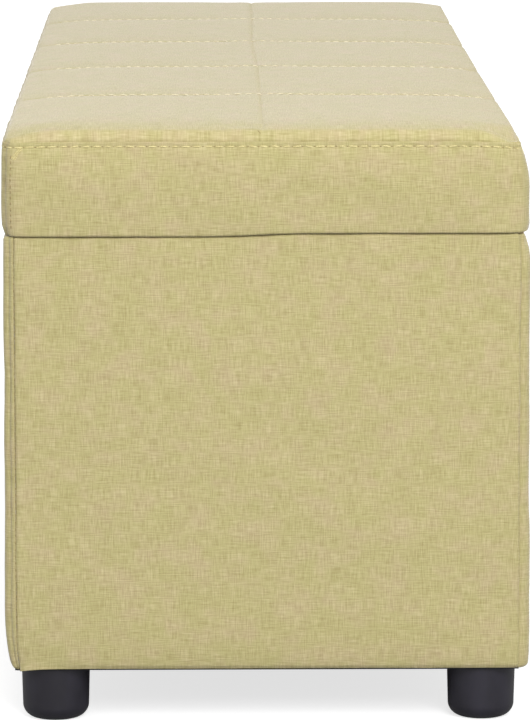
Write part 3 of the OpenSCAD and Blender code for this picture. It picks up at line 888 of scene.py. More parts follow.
@dataclass(frozen=True)
class StitchLine:
    """A row of stitches: short cords that dip into the cloth at both ends.

    Args:
        pitch: from one stitch to the next, mm.
        length: visible length of a stitch, mm.
        radius: half the thread's thickness, mm.
        lift: how far the middle stands out of the cloth, mm.
        wander: how unevenly the stitches sit, mm.
    """

    pitch: float = 8.0
    length: float = 6.2
    radius: float = 0.5
    lift: float = 0.25
    wander: float = 0.25

    def build(
        self,
        name: str,
        paths: Sequence[tuple[np.ndarray, np.ndarray]],
        material: bpy.types.Material,
        seed: int = 3,
    ) -> bpy.types.Object:
        """Builds every stitch of some paths as one mesh.

        Args:
            name: the object's name.
            paths: pairs of (n, 3) points in mm and (n, 3) outward normals.
            material: the thread.
            seed: choice of the unevenness.

        Returns:
            The object.
        """
        rng = np.random.default_rng(seed)
        centres, tangents, outs = [], [], []
        for path, normals in paths:
            reach = run_along(path)
            at = np.arange(self.pitch / 2, reach[-1] - self.pitch / 3, self.pitch)
            at = at + rng.uniform(-1, 1, len(at)) * self.wander
            take = lambda values, where: np.stack([np.interp(where, reach, c) for c in values.T], 1)
            ahead, behind = take(path, at + self.length * 0.4), take(path, at - self.length * 0.4)
            centres.append((ahead + behind + take(path, at)) / 3)
            tangents.append(ahead - behind)
            outs.append(take(normals, at))
        centre, tangent, out = (np.concatenate(x) for x in (centres, tangents, outs))
        tangent /= np.maximum(np.linalg.norm(tangent, axis=1, keepdims=True), 1e-9)
        tangent += rng.normal(0, self.wander * 0.25, tangent.shape)
        out /= np.maximum(np.linalg.norm(out, axis=1, keepdims=True), 1e-9)
        side = np.cross(tangent, out)
        half = self.length / 2 * rng.uniform(0.85, 1.1, len(centre))
        # Five stations along a stitch: two tips and three rings of six corners.
        ring_t = np.array([-0.7, 0.0, 0.7])
        ring_r = np.array([0.8, 1.0, 0.8]) * self.radius
        ring_h = np.array([0.35, 1.0, 0.35]) * self.lift
        around = np.arange(6) * np.pi / 3
        axis = centre[:, None, None] + tangent[:, None, None] * (half[:, None] * ring_t)[:, :, None, None]
        level = ring_h[None, :, None] + ring_r[None, :, None] * np.sin(around)[None, None]
        breadth = ring_r[None, :, None] * np.cos(around)[None, None]
        rings = axis + out[:, None, None] * level[..., None] + side[:, None, None] * breadth[..., None]
        tips = centre[:, None] + tangent[:, None] * (half[:, None] * [-1.0, 1.0])[..., None]
        tips = tips - out[:, None] * self.radius
        points = np.concatenate([rings.reshape(len(centre), 18, 3), tips], 1)
        k = np.arange(6)
        n = (k + 1) % 6
        quads = np.concatenate([np.stack([k + 6 * r, n + 6 * r, n + 6 * r + 6, k + 6 * r + 6], 1) for r in (0, 1)])
        caps = np.concatenate([np.stack([n, k, np.full(6, 18)], 1), np.stack([k + 12, n + 12, np.full(6, 19)], 1)])
        shift = (np.arange(len(centre)) * 20)[:, None, None]
        faces = (quads + shift).reshape(-1, 4).tolist() + (caps + shift).reshape(-1, 3).tolist()
        return make_object(name, points, faces, material)


# ---------------------------------------------------------------- upholstery of the body


def bump_line(distance: np.ndarray, width: float) -> np.ndarray:
    """A rounded groove: 1 on the line and 0 a few widths away."""
    return np.exp(-((np.abs(distance) / width) ** 1.6))


@dataclass
class Upholstery:
    """Cloth round the sides of the body or the lid.

    Args:
        finishes: the materials.
        outline: the outline in plan.
        wrap: the section.
        seams: places of the upright seams on the outline.
        pockets: middles of the hinge pockets along the bench, mm.
        seed: choice of the unevenness.
        slack: share by which the cut is longer than its frame.
        bulge: how far the padding pushes the cloth out, mm.
        groove: depth of an upright seam, mm.
        pocket_half: half the length of a hinge pocket, mm.
        pocket_deep: how far the cloth is cut back in it, mm.
        tilt: how much higher the joint between lid and body lies at the front, mm.
        joint: (height above the CAD's, depth of its waves, their length) of the joint's edge, mm.
    """

    finishes: Finishes
    outline: Outline
    wrap: Wrap
    seams: tuple[float, ...]
    pockets: tuple[float, ...] = ()
    seed: int = 5
    slack: float = 0.015
    bulge: float = 2.2
    groove: float = 1.5
    pocket_half: float = 33.0
    pocket_deep: float = 1.3
    tilt: float = 2.2
    joint: tuple[float, float, float] = (0.22, -0.08, 70.0)

    def joint_edge(self) -> tuple[float, float, int]:
        """Height and radius of the edge at the joint, and 1 if it is the upper edge or -1 if it is the lower one."""
        return self.wrap.high, self.wrap.high_round, 1

    def lengths(self, q: np.ndarray) -> np.ndarray:
        """Length of cloth from the first place to each place, mm."""
        return run_along(self.outline.points(q, 0 * q, 0 * q))

    def dents(self, q: np.ndarray, run: np.ndarray, height: np.ndarray) -> np.ndarray:
        """Extra inset from seams, tucks and unevenness.

        Args:
            q: places, (rows, 1).
            run: cloth length at each row, (rows, 1), mm.
            height: heights, (1, columns), mm.

        Returns:
            (rows, columns) insets, mm.
        """
        dent = 0.35 * ripple(run, height, 60, self.seed) + 0 * height
        pucker = 1 + 0.35 * ripple(run * 0, height, 14, self.seed + 1)
        for mark in self.lengths(np.array([q[0, 0], *self.near(q)]))[1:]:
            dent = dent + self.groove * bump_line(run - mark, 1.7) * pucker
        return dent

    def near(self, q: np.ndarray) -> list[float]:
        """The seams that lie on or at the ends of a run of places, in order and in the run's own numbering."""
        turns = sorted(s + 8 * k for s in self.seams for k in (0, 1))
        return [t for t in turns if q.min() - 0.01 <= t <= q.max() + 0.01]

    def surface(self, start: float, end: float, closed: bool = False) -> tuple[Grid, np.ndarray]:
        """The outer surface and the points behind it between two places.

        Args:
            start: first place on the outline.
            end: last place.
            closed: whether the run is the whole outline.

        Returns:
            The outer grid and its inner points.
        """
        q = self.outline.places(start, end, self.wrap.step, (*self.seams, *self.cuts()))
        run = self.lengths(q)
        q = (q[:-1] if closed else q)[:, None]
        rows = run[: len(q), None]
        inset, height = (line[None] for line in self.wrap.outer())
        along, free = self.wrap.along(), self.wrap.free()
        shift = self.settled(run[-1], closed)
        i = rows / run[-1] * (shift.shape[0] - 1) + 0 * along
        j = along / along[-1] * (shift.shape[1] - 1) + 0 * rows
        dent = self.dents(q, rows, height) - bilinear(shift[..., 2], i, j)
        total = np.minimum(inset + dent * free, self.room(q, height))
        level = height + self.shifts(q, rows, height) * free
        total, level = self.cut(q, total, level)
        back_inset, back_height = self.wrap.inner()
        back_inset = np.maximum(back_inset[None], total + 0.3)
        inner = self.outline.points(q, back_inset, back_height[None] + 0 * total)
        return Grid(self.outline.points(q, total, level), run, along, closed), inner

    def room(self, q: np.ndarray, height: np.ndarray) -> np.ndarray:
        """How far the cover may sink before it meets what lies behind it, mm; nothing limits it here."""
        return np.full(np.broadcast_shapes(q.shape, height.shape), NO_LIMIT)

    def cuts(self) -> list[float]:
        """Places where the hinge pockets begin and end on the rear side.

        Returns:
            Places on the outline.
        """
        radius, (low, high) = self.outline.radius, self.outline.x
        edges = [x + side * self.pocket_half for x in self.pockets for side in (-1, 1)]
        return [4 + (high - radius - x) / (high - low - 2 * radius) for x in edges]

    def cut(self, q: np.ndarray, inset: np.ndarray, level: np.ndarray) -> tuple[np.ndarray, np.ndarray]:
        """Cuts the turned-in edge at the joint back where a hinge leaf lies on the board.

        Args:
            q: places, (rows, 1).
            inset: (rows, columns) insets, mm.
            level: (rows, columns) heights, mm.

        Returns:
            New insets and heights.
        """
        edges = self.cuts()
        inside = np.zeros(q.shape, bool)
        for one, other in zip(edges[::2], edges[1::2]):
            inside |= (q > min(one, other)) & (q < max(one, other))
        edge, radius, way = self.joint_edge()
        rise = way * (level - edge)
        near = inside & (rise > -0.5 * radius)
        inset = np.where(near & (inset > 4.6), 4.6 + 0.02 * (inset - 4.6), inset)
        return inset, np.where(near, edge + way * np.minimum(rise, -self.pocket_deep), level)

    def shifts(self, q: np.ndarray, run: np.ndarray, height: np.ndarray) -> np.ndarray:
        """Uneven rise of the edge at the joint, and its step up towards the front.

        Args:
            q: places, (rows, 1).
            run: cloth length at each row, (rows, 1), mm.
            height: heights, (1, columns), mm.

        Returns:
            (rows, columns) shifts upwards, mm.
        """
        edge, _, way = self.joint_edge()
        near = np.clip(way * (height - edge) / 12 + 1, 0, 1)
        low, high = self.outline.y
        across = self.outline.points(q, 0 * q, 0 * q)[..., 1]
        front = np.clip((0.62 - (across - low) / (high - low)) / 0.2, 0, 1)
        tilted = self.tilt * (front * front * (3 - 2 * front) - 0.25)
        rise, deep, wave = self.joint
        return near * (tilted + rise + deep * ripple(run, 0 * height, wave, self.seed + 2))

    def settled(self, length: float, closed: bool) -> np.ndarray:
        """Simulated swell of the panel over its padding, scaled to the allowed bulge.

        Args:
            length: length of the panel, mm.
            closed: whether it runs all round.

        Returns:
            (rows, columns, 3) shifts, mm.
        """
        lines = self.seam_lengths() if closed else []
        panel = ClothPanel(length, float(self.wrap.along()[-1]), slack=self.slack, seed=self.seed)
        shift = panel.settle(u_lines=lines)
        shift[..., 2] *= self.bulge / max(np.percentile(shift[..., 2], 98), 1e-6)
        return shift

    def seam_lengths(self) -> np.ndarray:
        """Length of cloth from the first place to each seam, mm."""
        marks = self.outline.places(0, 8, self.wrap.step, self.seams)
        return np.interp(self.seams, marks, self.lengths(marks))


@dataclass
class BodyCovers(Upholstery):
    """The four covers of the body: front and rear turn the corners, the ends lie between the seams.

    Args:
        tuck: how far the hem is drawn in at the rear corners, mm, and
        tuck_reach: how far along the sides that goes, mm.
        hem_pull: how far it is drawn in elsewhere, mm.
        droop: how far it hangs at the rear corners, mm.
        flare_front: fullness of the lower part in front, mm, and
        flare_rear: at the rear, mm.
        top_front: how far the upper front edge is rounded back, mm.
        taut_end: how much flatter the ends are, mm.
        board: (depth of the board under the cover, its lower edge, its upper edge), mm.
    """

    tuck: float = 6.0
    tuck_reach: float = 24.0
    hem_pull: float = 2.0
    droop: float = 1.8
    flare_front: float = 2.4
    flare_rear: float = 1.2
    top_front: float = 4.6
    taut_end: float = 2.1
    board: tuple[float, float, float] = (5.0, 41.8, 358.4)

    def corner_share(self, q: np.ndarray, reach: float) -> np.ndarray:
        """How near a place is to a rear corner: 1 on the arc, falling away along both sides.

        Args:
            q: places.
            reach: where it has dropped to about a third, mm.

        Returns:
            Shares, 0 to 1.
        """
        wide, deep = (high - low for low, high in (self.outline.x, self.outline.y))
        ways = (3 * deep, 0, 0, wide / 2, 0, 0, 2 * deep)
        away = np.interp(np.mod(q, 8), (0, 3, 4, 4.5, 5, 6, 8), ways)
        return np.exp(-np.minimum(away, NO_LIMIT) / reach)

    def shifts(self, q: np.ndarray, run: np.ndarray, height: np.ndarray) -> np.ndarray:
        """Adds the droop of the hem at the rear corners."""
        low = np.clip((self.wrap.low + 10 - height) / 10, 0, 1)
        return super().shifts(q, run, height) - self.droop * self.corner_share(q, 12) * low

    def dents(self, q: np.ndarray, run: np.ndarray, height: np.ndarray) -> np.ndarray:
        """Adds the tucks at the lower corners, the fuller lower part and the rounded upper front edge.

        Args:
            q: places, (rows, 1).
            run: cloth length at each row, (rows, 1), mm.
            height: heights, (1, columns), mm.

        Returns:
            (rows, columns) insets, mm.
        """
        up = np.clip((height - self.wrap.low) / 42, 0, 1)
        curl = 1 - np.sqrt(1 - (1 - up) ** 2)
        tucks = (self.hem_pull + self.tuck * self.corner_share(q, self.tuck_reach)) * curl
        normal = self.outline.frame(q)[1]
        front, rear = (np.maximum(sign * normal[..., 1], 0) for sign in (-1, 1))
        full = (self.flare_front * front + self.flare_rear * rear) * np.clip((240 - height) / 200, 0, 1) ** 1.2
        full = full - self.taut_end * np.abs(normal[..., 0])
        top = self.top_front * front * np.clip((height - self.wrap.high + 18) / 18, 0, 1) ** 2
        return super().dents(q, run, height) + tucks - full + top

    def room(self, q: np.ndarray, height: np.ndarray) -> np.ndarray:
        """Keeps the covers in front of the boards and their square corners, but for the cuts at the tucks.

        Args:
            q: places, (rows, 1).
            height: heights, (1, columns), mm.

        Returns:
            (rows, columns) insets, mm.
        """
        deep, bottom, top = self.board
        radius = self.outline.radius
        place = self.outline.points(q, 0 * q, 0 * q)
        facing = np.abs(self.outline.frame(q)[1]).max(-1)
        board = radius - (radius - deep) / facing - 0.4
        end = self.outline.x[1] - np.abs(place[..., 0])
        side = np.minimum(place[..., 1] - self.outline.y[0], self.outline.y[1] - place[..., 1])
        # The cut runs slantwise over the corner, so there is little room at its two ends.
        cut = np.minimum(np.clip(1.4 * (radius - side), 0, 4.2), np.maximum(0.4 * (25 - end), 0))
        low = np.clip((bottom + 26 - height) / 6, 0, 1)
        beyond = (height > top + 0.7) | (height < bottom - 0.7)
        return board + cut * low + NO_LIMIT * beyond

    def build(self) -> dict[str, tuple[bpy.types.Object, Grid]]:
        """Builds the covers.

        Returns:
            Objects and outer grids by name.
        """
        front_right, rear_right, rear_left, front_left = self.seams
        runs = {
            "cover_front": (front_left, front_right + 8),
            "cover_right_end": (front_right, rear_right),
            "cover_rear": (rear_right, rear_left),
            "cover_left_end": (rear_left, front_left),
        }
        made = {}
        for node, ends in runs.items():
            grid, inner = self.surface(*ends)
            made[node] = (grid.shell("padded_" + node, inner, self.finishes.linen), grid)
        return made


@dataclass
class LidBand(Upholstery):
    """The boxing round the lid, from under its board up to the seam with the quilted top.

    Args:
        shoulder_end: how far the top seam lies inside the outline at the ends, mm,
        shoulder_front: in front, mm, and
        shoulder_rear: at the rear, mm.
        shoulder_tall: height of the slope up to it, mm.
        proud_rear: fullness of the rear side, mm.
        sunk_front: hollowness of the front side, mm.
        low_extra: how far the long lower edges are rounded back, mm.
        stitch_down: how far the topstitch lies below the seam, mm.
        stitch_dent: depth of its groove, mm.
        joint: as for the other covers.
    """

    shoulder_end: float = 2.6
    shoulder_front: float = 8.8
    shoulder_rear: float = 0.4
    shoulder_tall: float = 34.0
    proud_rear: float = 1.0
    sunk_front: float = 0.8
    low_extra: float = 3.6
    joint: tuple[float, float, float] = (0.02, 0.06, 80.0)
    stitch_down: float = 3.5
    stitch_dent: float = 0.6

    def joint_edge(self) -> tuple[float, float, int]:
        """The lower edge."""
        return self.wrap.low, self.wrap.low_round, -1

    def shoulder(self, out_x: np.ndarray, out_y: np.ndarray) -> np.ndarray:
        """How far the top seam lies inside the outline, mm, where its normal is (out_x, out_y)."""
        across = np.where(out_y < 0, self.shoulder_front, self.shoulder_rear)
        return self.shoulder_end * out_x**2 + across * out_y**2

    def dents(self, q: np.ndarray, run: np.ndarray, height: np.ndarray) -> np.ndarray:
        """Adds the slope up to the top seam, the rounder long lower edges and the topstitch's groove.

        Args:
            q: places, (rows, 1).
            run: cloth length at each row, (rows, 1), mm.
            height: heights, (1, columns), mm.

        Returns:
            (rows, columns) insets, mm.
        """
        bottom, top = self.wrap.low, self.wrap.high
        out_x, out_y = np.moveaxis(self.outline.frame(q)[1], -1, 0)
        up = np.clip((height - top + self.shoulder_tall) / self.shoulder_tall, 0, 1)
        belly = np.sin(np.pi * np.clip((height - bottom) / (top - bottom), 0, 1)) ** 0.6
        low = np.clip((bottom + 8 - height) / 8, 0, 1)
        edge = self.low_extra * out_y**2 * (1 - np.sqrt(1 - low**2))
        groove = self.stitch_dent * bump_line(height - top + self.stitch_down, 1.1)
        full = self.proud_rear * np.maximum(out_y, 0) - self.sunk_front * np.maximum(-out_y, 0)
        slope = self.shoulder(out_x, out_y) * up**2 - full * belly
        return super().dents(q, run, height) + slope + edge + groove

    def shifts(self, q: np.ndarray, run: np.ndarray, height: np.ndarray) -> np.ndarray:
        """Adds the seam's drop at the corners.

        Args:
            q: places, (rows, 1).
            run: cloth length at each row, (rows, 1), mm.
            height: heights, (1, columns), mm.

        Returns:
            (rows, columns) shifts upwards, mm.
        """
        inset = self.shoulder(*np.moveaxis(self.outline.frame(q)[1], -1, 0))
        seam = self.outline.points(q, inset, 0 * q)
        drop = self.outline.seam_drop(seam[..., 0], seam[..., 1])
        high = np.clip((height - self.wrap.high + 30) / 30, 0, 1) ** 1.5
        return super().shifts(q, run, height) - drop * high


@dataclass
class QuiltedTop:
    """The quilted top panel: five by two cells sewn through wadding, rolled over the edge seam.

    The height over the seam rises steeply over roll_width, then slowly, plus the simulated swell of each
    cell; at the corners the padding has sunk. Corners are mapped from squares to quarter discs.

    Args:
        finishes: the materials.
        band: the boxing that the panel is sewn to.
        seam_z: height of the edge seam, mm.
        cells: cells along and across.
        drift: sideways drift of the middle seam at equal steps along the bench, mm.
        drift_reach: how far from the seam the cloth follows it, mm.
        roll_width: width of the steep part, mm.
        roll_height: its rise, mm.
        lift: further rise, mm.
        lift_width: width over which two thirds of that rise come, mm.
        crown: swell of a cell, mm.
        flatness: power that the simulated swell is raised to; below 1 the cells are flatter on top.
        middle: share of the swell that stays at the middle seam.
        slip: how far the roll leans in at the ends and at the rear, mm.
        slip_front: how far it leans in at the front, at equal steps along the bench, mm.
        lean_reach: distance from the seam where the roll leans most, mm.
        pinch: how far a cross channel draws the roll in, mm.
        channel: depths of the thread's groove in the cross channels and at the middle seam, mm.
        scallop: drop of the roll at a cross channel, mm.
        channel_width: half the width of that pinch, mm.
        step: spacing of the points, mm.
        seed: choice of the unevenness.
    """

    finishes: Finishes
    band: LidBand
    seam_z: float
    cells: tuple[int, int] = (5, 2)
    drift: tuple[float, ...] = (2.9, 1.6, 0.5, 2.1, -0.9, -2.8)
    drift_reach: float = 90.0
    roll_width: float = 7.0
    roll_height: float = 6.0
    lift: float = 4.9
    lift_width: float = 24.0
    crown: float = 2.3
    flatness: float = 0.6
    middle: float = 0.45
    slip: tuple[float, float] = (1.5, -1.9)
    slip_front: tuple[float, ...] = (3.4, 3.4, 2.8, 1.4, -0.6, -2.4)
    lean_reach: float = 10.0
    pinch: float = 2.4
    channel: tuple[float, float] = (0.35, 0.8)
    scallop: float = 0.8
    channel_width: float = 10.0
    step: float = 5.0
    seed: int = 11

    def __post_init__(self) -> None:
        """Works out where the channels run."""
        (x0, x1), (y0, y1) = self.band.outline.x, self.band.outline.y
        nx, ny = self.cells
        self.cross = [x0 + (x1 - x0) * k / nx for k in range(1, nx)]
        self.long = [y0 + (y1 - y0) * k / ny for k in range(1, ny)]

    def sample_lines(self, low: float, high: float, seams: Sequence[float]) -> np.ndarray:
        """Grid lines across the panel, closer together at the edges and the seams.

        Args:
            low: first edge, mm.
            high: last edge, mm.
            seams: places of the sewn channels, mm.

        Returns:
            Increasing places, mm.
        """
        edge = np.array([0, 0.5, 1.3, 2.6, 4.4, 7.0, 9.5, 12.0])
        fine = np.array([-8, -5, -3, -1.8, -0.9, 0, 0.9, 1.8, 3, 5, 8])
        even = np.linspace(low + 12, high - 12, int((high - low - 24) / self.step))
        for seam in seams:
            even = even[np.abs(even - seam) > 9.5]
        marks = np.concatenate([low + edge, high - edge, even, *(seam + fine for seam in seams)])
        marks = np.unique(np.round(marks, 4))
        return marks[np.concatenate([[True], np.diff(marks) > 0.3])]

    def plan(self, gx: np.ndarray, gy: np.ndarray) -> tuple[np.ndarray, np.ndarray, np.ndarray]:
        """Where the points of the square cut lie in plan once it is sewn on.

        Args:
            gx: places along the cut, mm.
            gy: places across it, mm.

        Returns:
            Places along and across the bench, and distances from the cut's edge, mm.
        """
        outline = self.band.outline
        (x0, x1), (y0, y1), radius = outline.x, outline.y, outline.radius
        mx, my = (x0 + x1) / 2, (y0 + y1) / 2
        dx = np.maximum(np.abs(gx - mx) - (x1 - x0) / 2 + radius, 0)
        dy = np.maximum(np.abs(gy - my) - (y1 - y0) / 2 + radius, 0)
        length = np.maximum(np.hypot(dx, dy), 1e-9)
        depth = np.minimum.reduce([gx - x0, x1 - gx, gy - y0, y1 - gy])
        out_x, out_y = dx / length * np.sign(gx - mx), dy / length * np.sign(gy - my)
        shoulder = self.band.shoulder(out_x, out_y) + 0.3
        reach = np.maximum(dx, dy) - shoulder * np.clip(1 - depth / radius, 0, 1) ** 1.5
        px = np.clip(gx, x0 + radius, x1 - radius) + out_x * reach
        py = np.clip(gy, y0 + radius, y1 - radius) + out_y * reach
        # The roll leans inwards, a little more where the cross channels draw it in.
        pinch = self.pinch * sum(bump_line(gx - c, self.channel_width) for c in self.cross)
        end, rear = self.slip
        px = px + end * (self.lean(gx - x0) - self.lean(x1 - gx))
        steps = np.linspace(x0, x1, len(self.drift))
        front = np.interp(gx, steps, self.slip_front)
        py = py + (front + pinch) * self.lean(gy - y0) - (rear + pinch) * self.lean(y1 - gy)
        for place in self.long:
            near = np.clip(1 - np.abs(gy - place) / self.drift_reach, 0, 1)
            py = py + np.interp(gx, steps, self.drift) * near**1.3
        return px, py, depth

    def lean(self, depth: np.ndarray) -> np.ndarray:
        """Share of the roll's lean at a distance from the seam: nothing at the seam, 1 at lean_reach."""
        return depth / self.lean_reach * np.exp(1 - depth / self.lean_reach)

    def heights(self, gx: np.ndarray, gy: np.ndarray, depth: np.ndarray) -> np.ndarray:
        """How high the sewn and padded panel stands over its own edge.

        Args:
            gx: places along the cut, mm.
            gy: places across it, mm.
            depth: distances from the cut's edge, mm.

        Returns:
            Heights, mm.
        """
        outline = self.band.outline
        (x0, x1), (y0, y1) = outline.x, outline.y
        panel = ClothPanel(x1 - x0, y1 - y0, self.step, 0.02, 4.0, 24, self.seed)
        shift = panel.settle([c - x0 for c in self.cross], [c - y0 for c in self.long])
        full = max(np.percentile(shift[..., 2], 97), 1e-6)
        rows, columns = shift.shape[:2]
        i, j = (gx - x0) / (x1 - x0) * (rows - 1), (gy - y0) / (y1 - y0) * (columns - 1)
        swell = np.clip(bilinear(shift[..., 2], i, j) / full, 0, 1.15) ** self.flatness
        # The middle channel is sewn more loosely than the cross channels.
        near = sum(np.exp(-(((gy - c) / 30) ** 2)) for c in self.long) * self.middle
        swell = self.crown * (swell + (1 - np.minimum(swell, 1)) * near * np.clip(depth / 25, 0, 1))
        part = np.clip(depth / self.roll_width, 0, 1)
        roll = self.roll_height * (1 - (1 - part) ** 2) ** 0.62
        inside = np.clip((depth - 6) / 12, 0, 1)
        cross, long = self.channel
        sewn = sum(cross * bump_line(gx - c, 2.0) for c in self.cross)
        sewn = sewn + sum(long * bump_line(gy - c, 1.7) for c in self.long)
        scallop = sum(self.scallop * bump_line(gx - c, 11) for c in self.cross) * part * np.exp(-depth / 20)
        height = roll + self.lift * (1 - np.exp(-depth / self.lift_width)) + swell - sewn * inside - scallop
        for corner in Corner:
            far = np.clip((outline.from_corner(corner, gx, gy) - corner.value[4]) / 32, 0, 1)
            height = height * (1 - corner.value[2] * (1 - far) ** 2)
        return height

    def build(self) -> tuple[bpy.types.Object, Grid]:
        """Builds the panel.

        Returns:
            The object and its outer grid.
        """
        outline = self.band.outline
        x = self.sample_lines(*outline.x, self.cross)
        y = self.sample_lines(*outline.y, self.long)
        gx, gy = np.meshgrid(x, y, indexing="ij")
        px, py, depth = self.plan(gx, gy)
        edge = self.seam_z - 0.2 - outline.seam_drop(px, py)
        points = np.stack([px, py, edge + self.heights(gx, gy, depth)], 2)
        my = sum(outline.y) / 2
        below = np.minimum(edge - 0.8 + 0.6 * np.clip(depth / self.roll_width, 0, 1), points[..., 2] - 0.4)
        inner = np.stack([px * 0.9985, (py - my) * 0.997 + my, below], 2)
        grid = Grid(points, x - outline.x[0] + 40, y - outline.y[0] + 900)
        return grid.shell("quilted_panel", inner, self.finishes.linen), grid

    def stitch_paths(self, grid: Grid) -> list[tuple[np.ndarray, np.ndarray]]:
        """Paths of the thread that shows in the cross channels.

        Args:
            grid: the outer surface.

        Returns:
            Pairs of points and normals.
        """
        v = np.arange(grid.v[0] + 16, grid.v[-1] - 16, 2.0)
        start = self.band.outline.x[0] - 40
        return [grid.at(np.full(len(v), place - start), v) for place in self.cross]


# ---------------------------------------------------------------- sheets


@dataclass(frozen=True)
class FlatSheet:
    """A stapled sheet of black cloth that is seen from below, flat apart from a little slack.

    Args:
        low: lowest corner, mm.
        high: highest corner, mm.
        sag: deepest slack, mm.
    """

    low: np.ndarray
    high: np.ndarray
    sag: float = 0.24

    def build(self, name: str, material: bpy.types.Material) -> bpy.types.Object:
        """Builds the sheet.

        Args:
            name: the object's name.
            material: the cloth.

        Returns:
            The object.
        """
        x = np.linspace(self.low[0], self.high[0], 60)
        y = np.linspace(self.high[1], self.low[1], 22)
        gx, gy = np.meshgrid(x, y, indexing="ij")
        edge = np.minimum.reduce([gx - x[0], x[-1] - gx, y[0] - gy, gy - y[-1]])
        z = self.low[2] + np.clip(edge / 40, 0, 1) * self.sag * (0.5 + 0.5 * ripple(gx, gy, 150, 4))
        back = np.stack([gx, gy, z + self.high[2] - self.low[2]], 2)
        return Grid(np.stack([gx, gy, z], 2), x - x[0], y[0] - y).shell(name, back, material)


@dataclass(frozen=True)
class StorageLining:
    """The black cloth of the storage space: four walls round the corner posts, and a floor.

    The surface is a stack of closed rings. Above the posts the ring is a plain rectangle; below their tops it
    steps round them; over the floor it shrinks to a short line in the middle.

    Args:
        room: half the length of the space, and its front and rear, mm.
        posts: inner side of the posts along x, and their inner sides towards the front and the rear, mm.
        levels: height of the floor, the tops of the posts and the upper edge, mm.
        thick: thickness of the cloth, mm.
        clearance: gap between the cloth and the boards, mm.
        slack: deepest ripple, mm.
        seed: choice of the ripples.
    """

    room: tuple[float, float, float]
    posts: tuple[float, float, float]
    levels: tuple[float, float, float]
    thick: float = 0.6
    clearance: float = 0.2
    slack: float = 1.2
    seed: int = 14

    def rings(self) -> tuple[np.ndarray, np.ndarray]:
        """The plain rectangle and the ring that steps round the posts, point by point.

        Returns:
            Two arrays (n, 2), mm.
        """
        x, front, rear = self.room
        px, pf, pr = self.posts
        notched = [(-px, front), (px, front), (px, pf), (x, pf), (x, pr), (px, pr)]
        notched += [(px, rear), (-px, rear), (-px, pr), (-x, pr), (-x, pf), (-px, pf)]
        plain = [(-px, front), (px, front), (x, front), (x, pf), (x, pr), (x, rear)]
        plain += [(px, rear), (-px, rear), (-x, rear), (-x, pr), (-x, pf), (-x, front)]
        corners = np.array([plain, notched], float)
        following = np.roll(corners, -1, 1)
        sides = []
        for k, reach in enumerate(np.linalg.norm(following - corners, axis=2)[1]):
            share = np.linspace(0, 1, max(2, int(reach / 18)), endpoint=False)[:, None]
            sides.append(corners[:, k, None] * (1 - share) + following[:, k, None] * share)
        return tuple(np.concatenate(sides, 1))

    def build(self, name: str, material: bpy.types.Material) -> bpy.types.Object:
        """Builds the lining.

        Args:
            name: the object's name.
            material: the cloth.

        Returns:
            The object.
        """
        plain, notched = self.rings()
        floor, post_top, top = self.levels
        line = notched * (0.8, 0.0) + (0.0, (self.room[1] + self.room[2]) / 2)
        stack = [(plain, z) for z in np.linspace(top, post_top + 0.8, 4)]
        stack += [(notched, z) for z in np.linspace(post_top, floor, 12)]
        walls = len(stack)
        stack += [(line + (notched - line) * share, floor) for share in (0.97, 0.9, 0.75, 0.55, 0.35, 0.15, 0.0)]
        points = np.stack([np.column_stack([ring, np.full(len(ring), z)]) for ring, z in stack], 1)
        around = np.linalg.norm(np.roll(points, -1, 0) - points, axis=2).max(1)
        down = np.linalg.norm(np.diff(points, axis=1), axis=2).max(0)
        grid = Grid(points, *(np.concatenate([[0], np.cumsum(steps)]) for steps in (around, down)), closed=True)
        inward = grid.normals()
        inward[:, :walls, 2] = 0
        inward[:, walls:] = (0, 0, 1)
        inward[:, walls - 1] += (0, 0, 1)
        # The end walls carry the plates of the stays, so their cloth lies flat.
        still = np.where(np.abs(inward[..., 0]) > 0.5, 0.1, 1.0)
        loose = self.slack * (0.5 + 0.5 * ripple(grid.u[:-1, None], grid.v[None], 130, self.seed))
        edge = np.clip((top - points[..., 2]) / 40, 0, 1) * np.clip((points[..., 2] - floor) / 20 + 0.3, 0, 1)
        grid.points = points + inward * (self.clearance + self.thick + loose * still * edge)[..., None]
        return grid.shell(name, points + inward * self.clearance, material)


# ---------------------------------------------------------------- the stage


